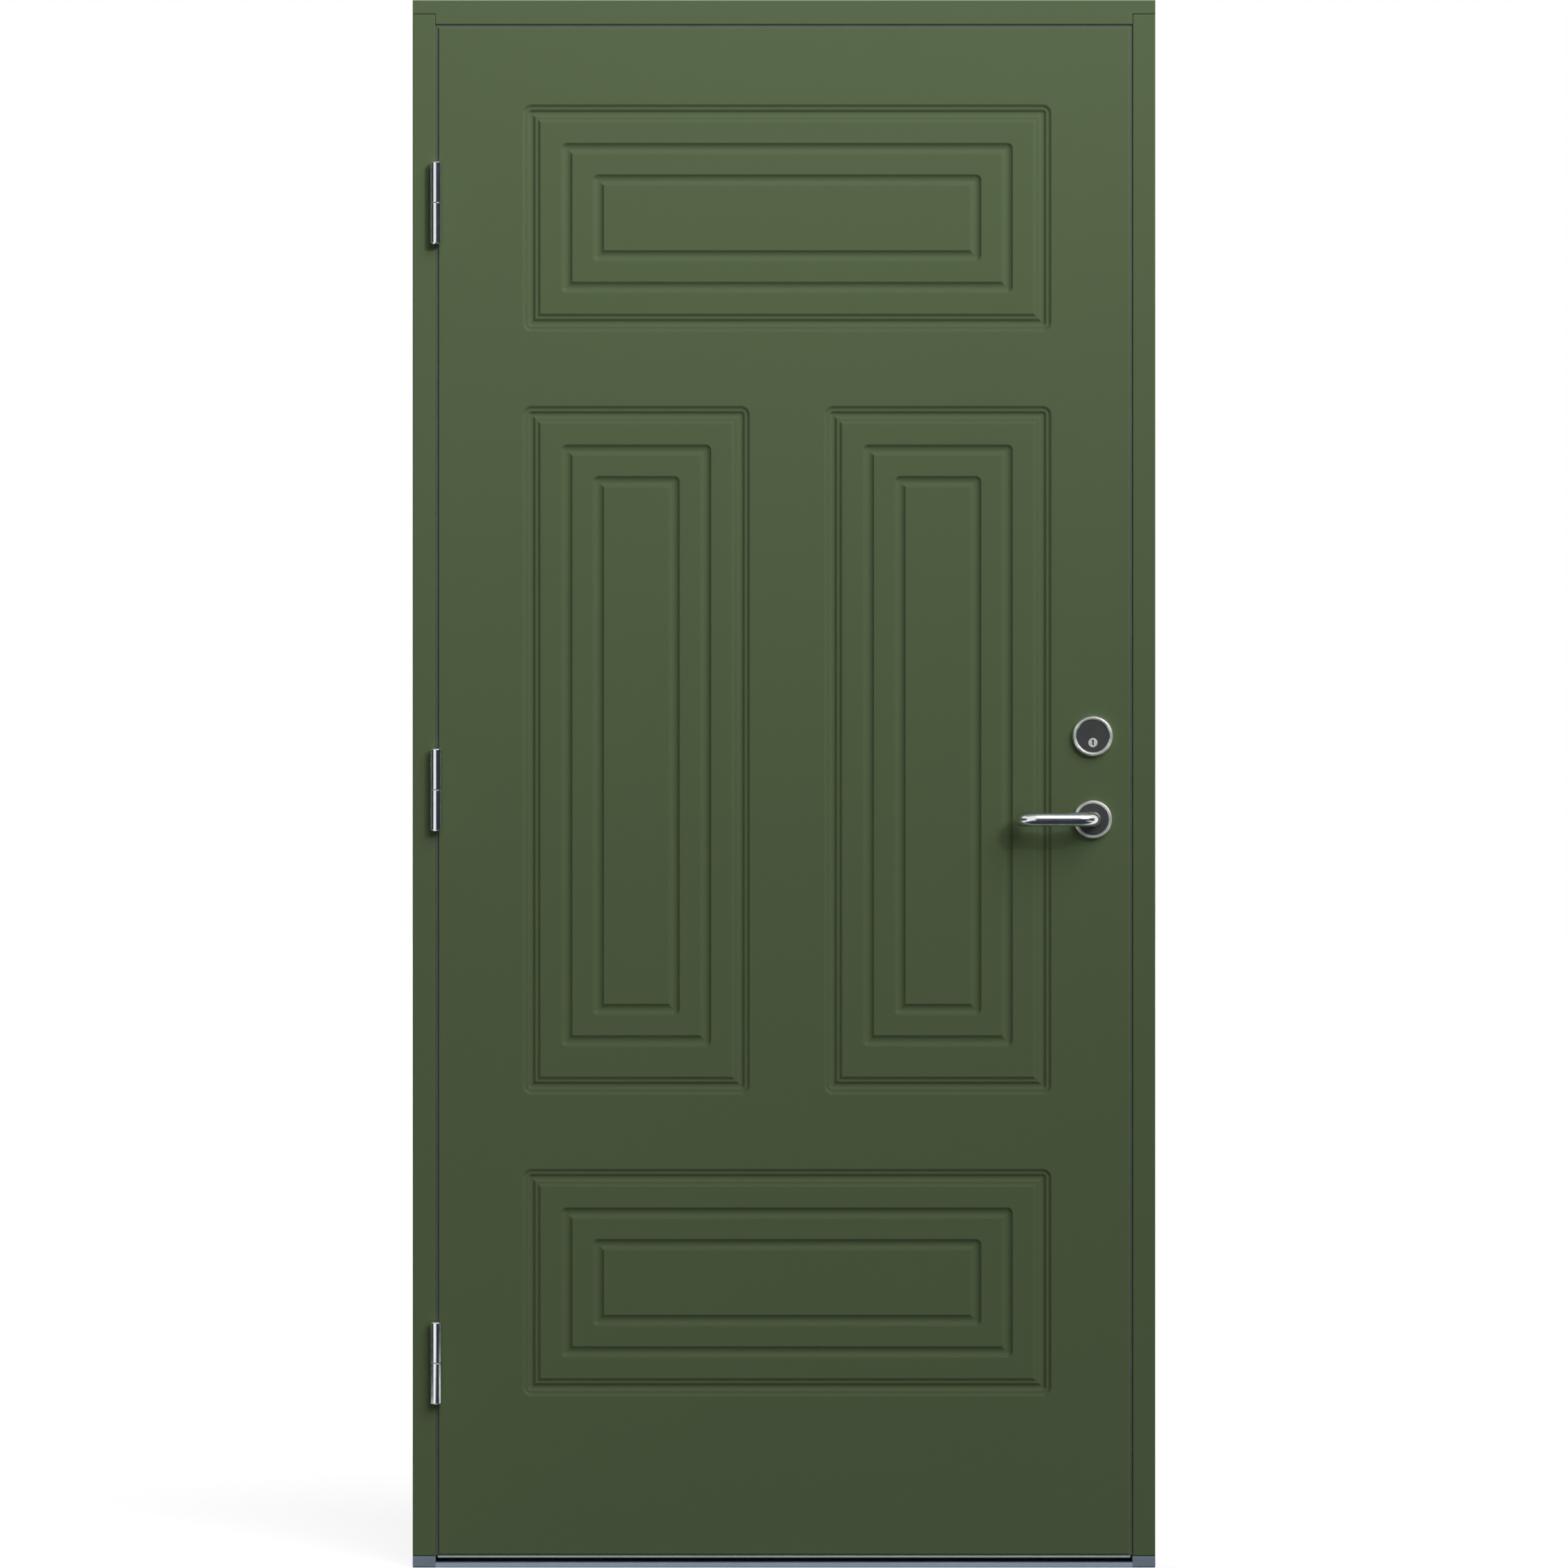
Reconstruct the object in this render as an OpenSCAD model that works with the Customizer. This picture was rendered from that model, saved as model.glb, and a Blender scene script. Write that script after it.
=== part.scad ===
// Panelled front door leaf, hung on three lift-off hinges in its frame.
// The origin lies on the sill's underside, at mid width and mid depth of the frame.
// X runs to the lock side, Y to the inside of the house, Z up.

/* [Frame] */
// Width over the frame
frame_w = 990; // [890:10:1190]
// Height over the frame
frame_h = 2090; // [2040:10:2290]
// Depth of the frame through the wall
frame_d = 115; // [105:1:140]
// Width of the jamb face beside the leaf
jamb_face = 30.5; // [29:0.5:40]
// Height of the head face above the leaf
head_face = 33; // [31:0.5:45]
// Thickness of the head where it lies over the jamb ends
head_cap_t = 19; // [15:0.5:24]
// How far the stops reach in behind the leaf
stop_w = 15; // [13:0.5:20]
// Gap between the leaf and the frame
leaf_gap = 3; // [3:0.1:4]
// Gap behind the leaf that the weather seal fills
seal_gap = 4; // [3:0.1:6]
// Chamfer on the edges of the frame members
frame_arris = 1.2; // [0.5:0.1:2]
// Distance between the upper and lower frame fixings
fixing_outer_pitch = 1770; // [1600:10:1800]
// Distance between the two middle frame fixings
fixing_inner_pitch = 570; // [500:10:620]
// Bore of a fixing sleeve
fixing_bore_d = 8.4; // [6:0.1:10]

/* [Sill] */
// Height of the sill's upstand behind the leaf
upstand_h = 25; // [22:0.5:30]
// Height of the outer tread at its nose
tread_h = 8; // [7:0.5:9]
// Rise of the tread from its nose to the upstand
tread_rise = 1.5; // [0.5:0.1:2]
// Height of the feet under the jambs
foot_h = 17; // [14:0.5:20]
// Wall of the sill extrusion
sill_wall = 2.5; // [2:0.1:2.8]
// Height of the drip recess under the nose
drip_h = 1.8; // [1:0.1:3]
// Depth of the drip recess
drip_d = 6; // [4:0.5:10]

/* [Leaf] */
// Thickness of the leaf
leaf_t = 62; // [60:1:68]
// Height of the leaf's underside above the floor
leaf_floor = 17; // [16:0.5:20]
// Thickness of each facing
facing_t = 10; // [9:0.5:12]
// Width of the hinge stile
hinge_stile_w = 70; // [50:1:90]
// Width of the lock stile
lock_stile_w = 115; // [105:1:130]
// Height of the top rail
top_rail_h = 85; // [60:1:100]
// Height of the bottom rail
bottom_rail_h = 130; // [90:1:180]
// Chamfer around both faces of the leaf
leaf_arris = 2; // [1:0.1:3]
// Height of the drip rail's nose under the leaf
drip_rail_h = 3; // [2:0.1:4]

/* [Panels] */
// Leaf edge to the panels' outer groove, on average
side_margin = 121; // [112:1:130]
// Shift of the panels towards the lock side
panel_shift = 4; // [0:0.5:6]
// Leaf top to the top panel's outer groove
top_margin = 115; // [100:1:130]
// Leaf underside to the bottom panel's outer groove
bottom_margin = 224; // [200:1:260]
// Height of the top and bottom panels
short_panel_h = 279; // [260:1:290]
// Distance between the outer grooves of neighbouring panels
panel_gap = 123; // [100:1:140]
// Outer groove to the first cove
first_cove_in = 47; // [40:1:55]
// First cove to the second cove
second_cove_in = 42; // [32:1:48]
// Extra distance of both coves from the foot of the tall panels
tall_foot_in = 12.5; // [0:0.5:20]
// Radius of the cove cutter
cove_r = 9; // [7:0.5:12]
// Depth of a cove
cove_depth = 3.8; // [2.5:0.1:5]
// Drop of each step of the outer groove
step_drop = 2.7; // [1.5:0.1:3.5]
// Width of each sloping side in the outer groove
step_slope_w = 3.5; // [2.5:0.1:4.5]
// Width of the flat between the two steps
step_land_w = 3.2; // [2:0.1:4]
// Width of the outer groove's floor
step_floor_w = 3.5; // [2:0.1:6]

/* [Hinges] */
// Diameter of a hinge knuckle
knuckle_d = 16; // [14:0.5:18]
// Length of one knuckle
knuckle_l = 54.5; // [45:0.5:60]
// Thickness of the bearing ring between the knuckles
bearing_t = 1; // [0.8:0.1:2]
// Diameter of the hinge pin
hinge_pin_d = 9; // [7:0.5:10]
// Distance of the hinge axis in front of the leaf
hinge_stand = 9; // [9:0.1:11]
// Thickness of a hinge plate
plate_t = 2.5; // [2:0.1:3]
// Width of a hinge plate behind the leaf's face
plate_w = 30; // [26:1:36]
// Leaf top to the centre of the top hinge
top_hinge_drop = 235; // [180:1:300]
// Height of the middle hinge's centre
mid_hinge_z = 1037.5; // [950:0.5:1100]
// Leaf underside to the centre of the bottom hinge
bottom_hinge_rise = 257; // [200:1:300]

/* [Lock] */
// Height of the handle's spindle
handle_z = 998; // [950:1:1050]
// Spindle to the key's axis above it
key_rise = 102; // [100:0.5:110]
// Leaf edge to the spindle and the key's axis
backset = 50; // [48:0.5:55]
// Depth of the lock case behind its forend
case_d = 85; // [82:0.5:95]
// Thickness of the lock case
case_t = 16; // [16:0.5:20]
// Sheet thickness of the lock case
case_wall = 1.5; // [1.2:0.1:2]
// Case above the key's axis
case_above = 45; // [35:1:60]
// Case below the spindle
case_below = 43; // [30:1:60]
// Thickness of the forend and of the strike plate
forend_t = 3; // [2.5:0.1:3]
// Width of the forend and of the strike plate
forend_w = 24; // [22:0.5:28]
// Forend past each end of the case
forend_lap = 20; // [16:1:30]
// Latch above the spindle
latch_rise = 32; // [30:0.5:36]
// Travel of the latch
latch_travel = 12; // [8:0.5:12]
// Height of the latch head
latch_h = 20; // [16:0.5:22]
// Deadbolt below the key's axis
bolt_fall = 14; // [13:0.5:16]
// Throw of the deadbolt
bolt_throw = 20; // [14:0.5:20]
// Height of the deadbolt
bolt_h = 25; // [23:0.5:26]

/* [Handle] */
// Diameter of the lever's bar
lever_d = 19; // [17:0.5:20]
// Spindle to the lever's tip
lever_reach = 104; // [95:1:125]
// Leaf face to the middle of the grip
lever_stand = 47; // [42:0.5:55]
// Bend radius on the lever's centre line
lever_bend_r = 19; // [15:0.5:22]
// Square of the spindle
spindle_w = 8; // [7:0.5:9]
// Diameter of a rose
rose_d = 50.5; // [48:0.5:56]
// Height of a rose
rose_h = 9; // [8:0.5:12]
// Width of a rose's bright rim
rose_rim = 4.2; // [3:0.1:5]

/* [Cylinder] */
// Diameter of the cylinder ring
ring_d = 55; // [52:0.5:60]
// Height of the cylinder ring
ring_h = 9; // [7:0.5:12]
// Diameter of the dark face inside the ring
cylinder_face_d = 43.5; // [41:0.5:46]
// Diameter of the cylinder's body in the leaf
cylinder_body_d = 36; // [35:0.5:38]
// Diameter of the plug
plug_d = 12; // [10:0.5:13]
// Key's axis below the ring's centre
plug_drop = 9; // [7:0.5:9.5]

/* [Hidden] */
$fn = 48;

// Colours
paint = "#4B593D";
chrome = "#C8CCCB";
dark_metal = "#444546";
aluminium = "#9AA6AE";
foot_grey = "#5E6975";
rubber = "#26282A";
slate_rubber = "#383F3B";
timber = "#B8925F";
steel = "#8F9498";
foam = "#E9E4D4";
moulded_black = "#2B2C2E";

// Clearances and overruns
overrun = 1;
fit = 0.05;
press = 0.02;
slide_clear = 0.3;

// Main planes
half_w = frame_w / 2;
outer_y = -frame_d / 2;
inner_y = frame_d / 2;
stop_y = outer_y + leaf_t + seal_gap;
rebate_x = half_w - jamb_face;
stop_x = rebate_x - stop_w;
jamb_top = frame_h - head_cap_t;
leaf_w = frame_w - 2 * (jamb_face + leaf_gap);
leaf_x = leaf_w / 2;
leaf_top = frame_h - head_face - leaf_gap;
leaf_h = leaf_top - leaf_floor;
leaf_inner_y = outer_y + leaf_t;
outer_core_y = outer_y + facing_t;
inner_core_y = leaf_inner_y - facing_t;

// Shadow groove where the head lies on a jamb's end
joint_gap = 0.9;
joint_groove_d = 2;

// Edge seal around the leaf, behind the chamfer of its outer face
edge_seal_clear = 0.3;
edge_seal_set_back = 0.5;
edge_seal_t = 3;
edge_seal_w = leaf_gap - edge_seal_clear;
edge_seal_y = outer_y + leaf_arris + edge_seal_set_back;

// Weather seal, with its section as shares of its depth
seal_clear = 0.3;
seal_slot_w = 3;
seal_slot_d = 6;
seal_inset = stop_w / 2;
seal_w = 9;
bulb_depth = seal_gap - seal_clear;
bulb_r_share = 0.7;
lip_share = 0.3;
hollow_r_share = 0.28;
hollow_place_share = 0.5;
sill_seal_drop = 5;

// Sill
tread_top = tread_h + tread_rise;
nose_r = 1.5;
sill_web_w = 8;
sill_arris = 2;
grip_groove_w = 2;
grip_groove_d = 0.8;
grip_groove_count = 4;
chamber_y = stop_y + seal_slot_d + sill_wall;
sill_web_y = (chamber_y + inner_y - sill_wall) / 2;
foot_chamfer = 2.5;

// Wood screws
screw_r = 2.5;
screw_head_r = 4.6;
screw_head_h = 2.6;
screw_tip_l = 4;
screw_drive_r = 1.6;
screw_drive_d = 1.6;
frame_screw_l = 70;
frame_screw_front = 27;
frame_screw_back = 12;
sill_screw_l = 60;
drip_screw_l = 35;
drip_screw_shares = [-0.33, 0, 0.33];
jamb_screw_l = 26;
stile_screw_l = 40;
forend_screw_l = 30;
strike_screw_l = 24;

// Hinges
hinge_x = -half_w + jamb_face + leaf_gap / 2;
hinge_y = outer_y - hinge_stand;
knuckle_r = knuckle_d / 2;
hinge_l = 2 * knuckle_l + bearing_t;
hinge_pin_r = hinge_pin_d / 2;
knuckle_chamfer = 1.4;
pin_seat = 42;
pin_end_gap = 2;
pin_chamfer = 1;
plate_set_back = 1;
bearing_inset = 0.6;
hinge_screw_shares = [-0.38, 0, 0.38];
hinge_screw_share = 0.55;
top_hinge_z = leaf_top - top_hinge_drop;
bottom_hinge_z = leaf_floor + bottom_hinge_rise;
hinge_zs = [bottom_hinge_z, mid_hinge_z, top_hinge_z];

// Panels
panel_left = -leaf_x + side_margin + panel_shift;
panel_w = (leaf_w - 2 * side_margin - panel_gap) / 2;
wide_panel_w = 2 * panel_w + panel_gap;
tall_panel_z = leaf_floor + bottom_margin + short_panel_h + panel_gap;
tall_panel_h = leaf_top - top_margin - short_panel_h - panel_gap - tall_panel_z;
step_half_w = step_floor_w / 2 + 2 * step_slope_w + step_land_w;

// Lock
lock_x = leaf_x - backset;
lock_y = outer_y + leaf_t / 2;
key_z = handle_z + key_rise;
case_x = leaf_x - forend_t - case_d;
case_y = lock_y - case_t / 2;
case_inner_y = lock_y + case_t / 2;
cover_y = case_inner_y - case_wall;
case_bottom = handle_z - case_below;
case_h = key_rise + case_below + case_above;
forend_z = case_bottom - forend_lap;
forend_h = case_h + 2 * forend_lap;
forend_screw_share = 0.4;
forend_screw_in = forend_lap * forend_screw_share;
case_clear = 0.3;
bolt_side_gap = 0.5;
bolt_w = case_t - 2 * (case_wall + bolt_side_gap);
bolt_clear = 0.2;
strike_end_gap = 3.5;
strike_depth = bolt_throw - leaf_gap + strike_end_gap;
strike_wall = 1.2;
strike_clear = 1;

// Fixing sleeves: an outer pair about the frame's middle and an inner pair about the strike plate
sleeve_d = 14;
sleeve_set_back = 2;
sleeve_y = outer_y + leaf_t / 2;
fixing_inner_drop = 5;
fixing_inner_z = forend_z + forend_h / 2 - fixing_inner_drop;
fixing_zs = [for (s = [-1, 1]) for (z = [frame_h / 2 + s * fixing_outer_pitch / 2,
  fixing_inner_z + s * fixing_inner_pitch / 2]) z];

// Follower and latch
follower_r = 8.5;
follower_flange_r = 11;
follower_flange_t = 3;
arm_w = 7;
arm_t = 6;
handle_turn = 45;
arm_reach = (latch_travel + arm_w / 2 * (1 - cos(handle_turn))) / sin(handle_turn);
arm_clear = 1;
latch_z = handle_z + latch_rise;
latch_body_l = 22;
latch_slope = 10;
latch_bar_h = 7;
lug_w = 5;
lug_rise = 9;
lug_x = lock_x - arm_w / 2 - arm_clear - lug_w;
stub_r = 3;
stub_l = 12;
guide_x = lock_x + arm_w / 2;
guide_w = 6;
guide_h = 16;
spring_turns = 7;
spring_wire_r = 0.6;
spring_gap = 0.4;
spring_r = stub_r + spring_wire_r + spring_gap;
spring_steps = 14;
spring_sides = 6;

// Deadbolt and its cam
bolt_z = key_z - bolt_fall;
bolt_body_l = 38;
bolt_set_back = 0.5;
cam_turn = 90;
cam_r = bolt_throw / 2 / sin(cam_turn / 2);
cam_pin_r = 2.5;
cam_pin_clear = 0.6;
cam_hub_r = 9;
cam_journal_r = 7;
cam_arm_w = 6;
cam_boss_r = 4;
cam_socket_r = 4.8;
cam_arm_root = -(cam_socket_r + cam_hub_r) / 2;
cam_arm_t = 5;
bolt_tail_t = 5;
bolt_tail_margin = 2.2;
bolt_tail_lead = 9.5;
bolt_pin_x = lock_x - bolt_throw / 2;
bolt_slot_low = key_z - cam_r - cam_pin_r - cam_pin_clear;
bolt_slot_high = key_z - cam_r * cos(cam_turn / 2) + cam_pin_r + cam_pin_clear;
bolt_tail_low = bolt_slot_low - bolt_tail_margin * 2;
bolt_tail_high = bolt_slot_high + bolt_tail_margin;
bolt_tail_y = case_y + case_wall + slide_clear;
bolt_tail_x = bolt_pin_x - bolt_tail_lead;
bolt_back_x = leaf_x - bolt_set_back - bolt_body_l;
rail_h = 3.2;
cam_y = bolt_tail_y + bolt_tail_t + slide_clear;
cam_socket_d = 4;
turn_square = 6;

// Handle
lever_r = lever_d / 2;
lever_y = outer_y - lever_stand;
lever_end_x = lock_x - lever_reach + lever_r;
return_l = 13;
return_round = 4;
spindle_in_lever = 26;
rose_r = rose_d / 2;
rose_floor_t = 3;
rose_recess = 1.2;
rose_arris = 1.2;
rose_plate_gap = 0.1;
neck_clear = 0.4;
neck_set_off = 0.6;
spindle_hole_r = 11;
handle_bolt_in = 17;
handle_bolt_r = 2;
handle_bolt_head_r = 3.6;
handle_bolt_head_h = 1.6;
post_r = 3.5;
post_l = 15;
post_wall_end = 4;
grub_r = 2.5;
grub_share = 0.38;

// Cylinder and thumb turn
ring_z = key_z + plug_drop;
ring_r = ring_d / 2;
ring_lip_t = 2;
ring_round = 2.5;
face_gap = 0.2;
face_sink = 2.5;
plug_r = plug_d / 2;
plug_proud = 0.3;
plug_groove_w = 0.9;
plug_groove_d = 0.6;
plug_end_gap = 1.5;
plug_end_y = case_y - plug_end_gap;
keyway_w = 1.8;
keyway_h = 6.2;
keyway_bulge_r = 1.4;
keyway_d = 22;
tail_w = 7;
tail_t = 2;
cylinder_screw_in = 11;
cylinder_screw_rise = 15;
cylinder_screw_r = 2;
cylinder_screw_grip = 12;
turn_rose_h = 8;
turn_rose_r = rose_r;
turn_rose_floor_t = 3;
turn_shaft_r = 8;
turn_stem_l = 5;
turn_grip_l = 34;
turn_grip_w = 9;
turn_grip_h = 17;
turn_hole_r = 10;

// A block given by two opposite corners
module block(low, high) {
  translate(low) cube(high - low);
}

// Countersunk wood screw, head at the origin and tip towards -Z
module wood_screw(length) {
  rotate_extrude() polygon([[0, -screw_drive_d], [screw_drive_r, 0], [screw_head_r, 0],
    [screw_r, -screw_head_h], [screw_r, screw_tip_l - length], [0, -length]]);
}

// Hole for that screw
module screw_hole(length) {
  rotate_extrude() polygon([[0, overrun], [screw_head_r + fit, overrun], [screw_head_r + fit, 0],
    [screw_r + fit, -screw_head_h], [screw_r + fit, screw_tip_l - length], [0, -length - fit]]);
}

// Places of the screws, each with its children's -Z along the screw
module frame_screw_places() {
  for (side = [-1, 1]) for (y = [outer_y + frame_screw_front, inner_y - frame_screw_back]) {
    translate([side * (half_w - jamb_face / 2), y, frame_h]) children();
    translate([side * (half_w - jamb_face / 2), y, 0]) mirror([0, 0, 1]) children();
  }
}
module sill_screw_places() {
  for (side = [-1, 1]) translate([side * half_w, sill_web_y, upstand_h / 2])
    rotate([0, side * 90, 0]) children();
}
module hinge_screw_places(z) {
  y = outer_y + plate_w * hinge_screw_share;
  for (share = hinge_screw_shares) translate([hinge_x, y, z + share * hinge_l]) children();
}
module jamb_screw_places(z) {
  hinge_screw_places(z) translate([-leaf_gap / 2, 0, 0]) rotate([0, 90, 0]) children();
}
module stile_screw_places(z) {
  hinge_screw_places(z) translate([leaf_gap / 2, 0, 0]) rotate([0, -90, 0]) children();
}
module plate_end_places(x, turn) {
  for (z = [forend_z + forend_screw_in, forend_z + forend_h - forend_screw_in])
    translate([x, lock_y, z]) rotate([0, turn, 0]) children();
}
module drip_screw_places() {
  for (share = drip_screw_shares) translate([share * leaf_w, lock_y, leaf_floor - drip_rail_h / 2])
    mirror([0, 0, 1]) children();
}

// Frame members share one rebated section: u runs in from the frame's edge, y through the wall
module frame_section(face) {
  a = frame_arris;
  reach = face + stop_w;
  difference() {
    polygon([[0, outer_y + a], [a, outer_y], [face - a, outer_y], [face, outer_y + a], [face, stop_y],
      [reach, stop_y], [reach, inner_y - a], [reach - a, inner_y], [0, inner_y]]);
    translate([face + seal_inset - seal_slot_w / 2, stop_y - overrun])
      square([seal_slot_w, seal_slot_d + overrun]);
  }
}
module square_section(face) {
  reach = face + stop_w;
  polygon([[0, outer_y - overrun], [face, outer_y - overrun], [face, stop_y], [reach, stop_y],
    [reach, inner_y + overrun], [0, inner_y + overrun]]);
}
module at_side(side) {
  translate([side * half_w, 0, 0]) mirror([side > 0 ? 1 : 0, 0, 0]) children();
}
module fixing_holes(side, r) {
  for (z = fixing_zs) translate([side * (half_w + overrun), sleeve_y, z]) rotate([0, -side * 90, 0])
    cylinder(h = jamb_face + 2 * overrun, r = r);
}
module jamb(side) {
  difference() {
    at_side(side) difference() {
      translate([0, 0, foot_h]) linear_extrude(jamb_top - foot_h) frame_section(jamb_face);
      block([jamb_face, stop_y - overrun, foot_h - overrun],
        [jamb_face + stop_w + overrun, inner_y + overrun, upstand_h]);
    }
    fixing_holes(side, sleeve_d / 2 + fit);
    frame_screw_places() screw_hole(frame_screw_l);
  }
}
module hinge_jamb() {
  color(paint) difference() {
    jamb(-1);
    for (z = hinge_zs) {
      frame_plate(z);
      jamb_screw_places(z) screw_hole(jamb_screw_l);
    }
  }
}
module lock_jamb() {
  color(paint) difference() {
    jamb(1);
    strike_blank();
    for (place = [[latch_z, latch_h], [bolt_z, bolt_h]]) strike_pocket(place[0], place[1]);
    plate_end_places(rebate_x, -90) screw_hole(strike_screw_l);
  }
}
module frame_head() {
  color(paint) difference() {
    translate([-half_w, 0, frame_h]) rotate([0, 90, 0]) linear_extrude(frame_w) frame_section(head_face);
    for (side = [-1, 1]) at_side(side) {
      translate([0, 0, frame_h / 2]) linear_extrude(jamb_top - frame_h / 2) square_section(jamb_face);
      block([-overrun, outer_y - overrun, jamb_top - overrun],
        [jamb_face, outer_y + joint_groove_d, jamb_top + joint_gap]);
    }
    frame_screw_places() screw_hole(frame_screw_l);
  }
}

// Sill: an extrusion with a drip nose, a sloping tread and a hollow upstand
module sill_section() {
  a = sill_arris;
  groove_pitch = (inner_y - stop_y) / (grip_groove_count + 1);
  difference() {
    polygon([[outer_y + drip_d, 0], [inner_y, 0], [inner_y, upstand_h - a], [inner_y - a, upstand_h],
      [stop_y, upstand_h], [stop_y, tread_top], [outer_y + nose_r, tread_h], [outer_y, tread_h - nose_r],
      [outer_y, drip_h], [outer_y + drip_d, drip_h]]);
    for (i = [1 : grip_groove_count])
      translate([stop_y + i * groove_pitch - grip_groove_w / 2, upstand_h - grip_groove_d])
        square([grip_groove_w, grip_groove_d + overrun]);
    translate([stop_y - overrun, upstand_h - sill_seal_drop - seal_slot_w / 2])
      square([seal_slot_d + overrun, seal_slot_w]);
    translate([outer_y + drip_d + sill_wall, sill_wall])
      square([stop_y - outer_y - drip_d - 2 * sill_wall, tread_h - 2 * sill_wall]);
    translate([chamber_y, sill_wall])
      square([sill_web_y - sill_web_w / 2 - chamber_y, upstand_h - 2 * sill_wall]);
    translate([sill_web_y + sill_web_w / 2, sill_wall])
      square([inner_y - sill_wall - sill_web_y - sill_web_w / 2, upstand_h - 2 * sill_wall]);
  }
}
module sill() {
  color(aluminium) difference() {
    translate([-rebate_x, 0, 0]) rotate([90, 0, 90]) linear_extrude(2 * rebate_x) sill_section();
    sill_screw_places() screw_hole(sill_screw_l);
  }
}
module jamb_foot(side) {
  color(foot_grey) difference() {
    translate([side > 0 ? rebate_x : -half_w, 0, 0]) rotate([90, 0, 90]) linear_extrude(jamb_face)
      polygon([[outer_y + drip_d, 0], [inner_y, 0], [inner_y, foot_h], [outer_y + foot_chamfer, foot_h],
        [outer_y, foot_h - foot_chamfer], [outer_y, drip_h], [outer_y + drip_d, drip_h]]);
    frame_screw_places() screw_hole(frame_screw_l);
    sill_screw_places() screw_hole(sill_screw_l);
  }
}
module hinge_side_foot() { jamb_foot(-1); }
module lock_side_foot() { jamb_foot(1); }

// Weather seal: a barbed root in the slot and a hollow bulb towards the leaf, along -Y of its section
module seal_bulb() {
  r = bulb_depth * bulb_r_share;
  difference() {
    union() {
      translate([-seal_w / 2, -bulb_depth * lip_share]) square([seal_w, bulb_depth * lip_share]);
      intersection() {
        translate([0, r - bulb_depth]) circle(r = r);
        translate([-r, -bulb_depth]) square([2 * r, bulb_depth]);
      }
    }
    translate([0, -bulb_depth * hollow_place_share]) circle(r = bulb_depth * hollow_r_share);
  }
}
module seal_root() {
  translate([fit - seal_slot_w / 2, 0]) square([seal_slot_w - 2 * fit, seal_slot_d - fit]);
}
module side_seal(side) {
  color(rubber) at_side(side) translate([jamb_face + seal_inset, stop_y, upstand_h])
    linear_extrude(frame_h - head_face - upstand_h) {
      seal_bulb();
      seal_root();
    }
}
module hinge_side_seal() { side_seal(-1); }
module lock_side_seal() { side_seal(1); }
module head_seal() {
  bulb_x = rebate_x - seal_inset - seal_w / 2;
  color(rubber) translate([0, stop_y, frame_h - head_face - seal_inset]) rotate([0, 90, 0]) {
    translate([0, 0, -bulb_x]) linear_extrude(2 * bulb_x) seal_bulb();
    translate([0, 0, -stop_x]) linear_extrude(2 * stop_x) seal_root();
  }
}
module sill_seal() {
  color(rubber) translate([-rebate_x, stop_y, upstand_h - sill_seal_drop]) rotate([0, 90, 0])
    linear_extrude(2 * rebate_x) {
      seal_bulb();
      seal_root();
    }
}

// Strike plate, let into the lock jamb, with a dust box behind each hole
module strike_blank() {
  block([rebate_x, lock_y - forend_w / 2, forend_z],
    [rebate_x + forend_t, lock_y + forend_w / 2, forend_z + forend_h]);
}
module strike_hole(z, h, grow, from_x, to_x) {
  half_y = bolt_w / 2 + strike_clear + grow;
  half_z = h / 2 + strike_clear + grow;
  block([from_x, lock_y - half_y, z - half_z], [to_x, lock_y + half_y, z + half_z]);
}
module strike_pocket(z, h) {
  strike_hole(z, h, strike_wall, rebate_x, rebate_x + forend_t + strike_depth);
}
module strike_plate() {
  color(steel) difference() {
    strike_blank();
    for (place = [[latch_z, latch_h], [bolt_z, bolt_h]])
      strike_hole(place[0], place[1], 0, rebate_x - overrun, rebate_x + forend_t + overrun);
    plate_end_places(rebate_x, -90) screw_hole(strike_screw_l);
  }
}
module strike_boxes() {
  color(moulded_black) for (place = [[latch_z, latch_h], [bolt_z, bolt_h]]) difference() {
    strike_hole(place[0], place[1], strike_wall, rebate_x + forend_t, rebate_x + forend_t + strike_depth);
    strike_hole(place[0], place[1], 0, rebate_x, rebate_x + forend_t + strike_depth - strike_wall);
  }
}
module strike_screws() {
  color(steel) plate_end_places(rebate_x, -90) wood_screw(strike_screw_l);
}
module frame_screws() {
  color(steel) {
    frame_screw_places() wood_screw(frame_screw_l);
    sill_screw_places() wood_screw(sill_screw_l);
  }
}
module fixing_sleeves() {
  color(steel) for (side = [-1, 1]) for (z = fixing_zs)
    translate([side * half_w, sleeve_y, z]) rotate([0, -side * 90, 0]) difference() {
      cylinder(h = jamb_face - sleeve_set_back, r = sleeve_d / 2);
      translate([0, 0, -overrun]) cylinder(h = jamb_face + overrun, r = fixing_bore_d / 2);
    }
}

// Hinge halves around the hinge axis: the lower knuckle and the pin on the frame, the upper on the leaf
module knuckle() {
  c = knuckle_chamfer;
  rotate_extrude() polygon([[0, 0], [knuckle_r, 0], [knuckle_r, knuckle_l - c],
    [knuckle_r - c, knuckle_l], [0, knuckle_l]]);
}
module hinge_plate(x, knuckle_low) {
  block([x, hinge_stand + plate_set_back, -hinge_l / 2], [x + plate_t, hinge_stand + plate_w, hinge_l / 2]);
  block([x, 0, knuckle_low], [x + plate_t, hinge_stand + plate_w, knuckle_low + knuckle_l]);
}
module at_hinge(z) {
  translate([hinge_x, hinge_y, z]) children();
}
module frame_plate(z) {
  at_hinge(z) hinge_plate(-leaf_gap / 2 - plate_t, -hinge_l / 2);
}
module leaf_plate(z) {
  at_hinge(z) hinge_plate(leaf_gap / 2, bearing_t / 2);
}
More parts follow.
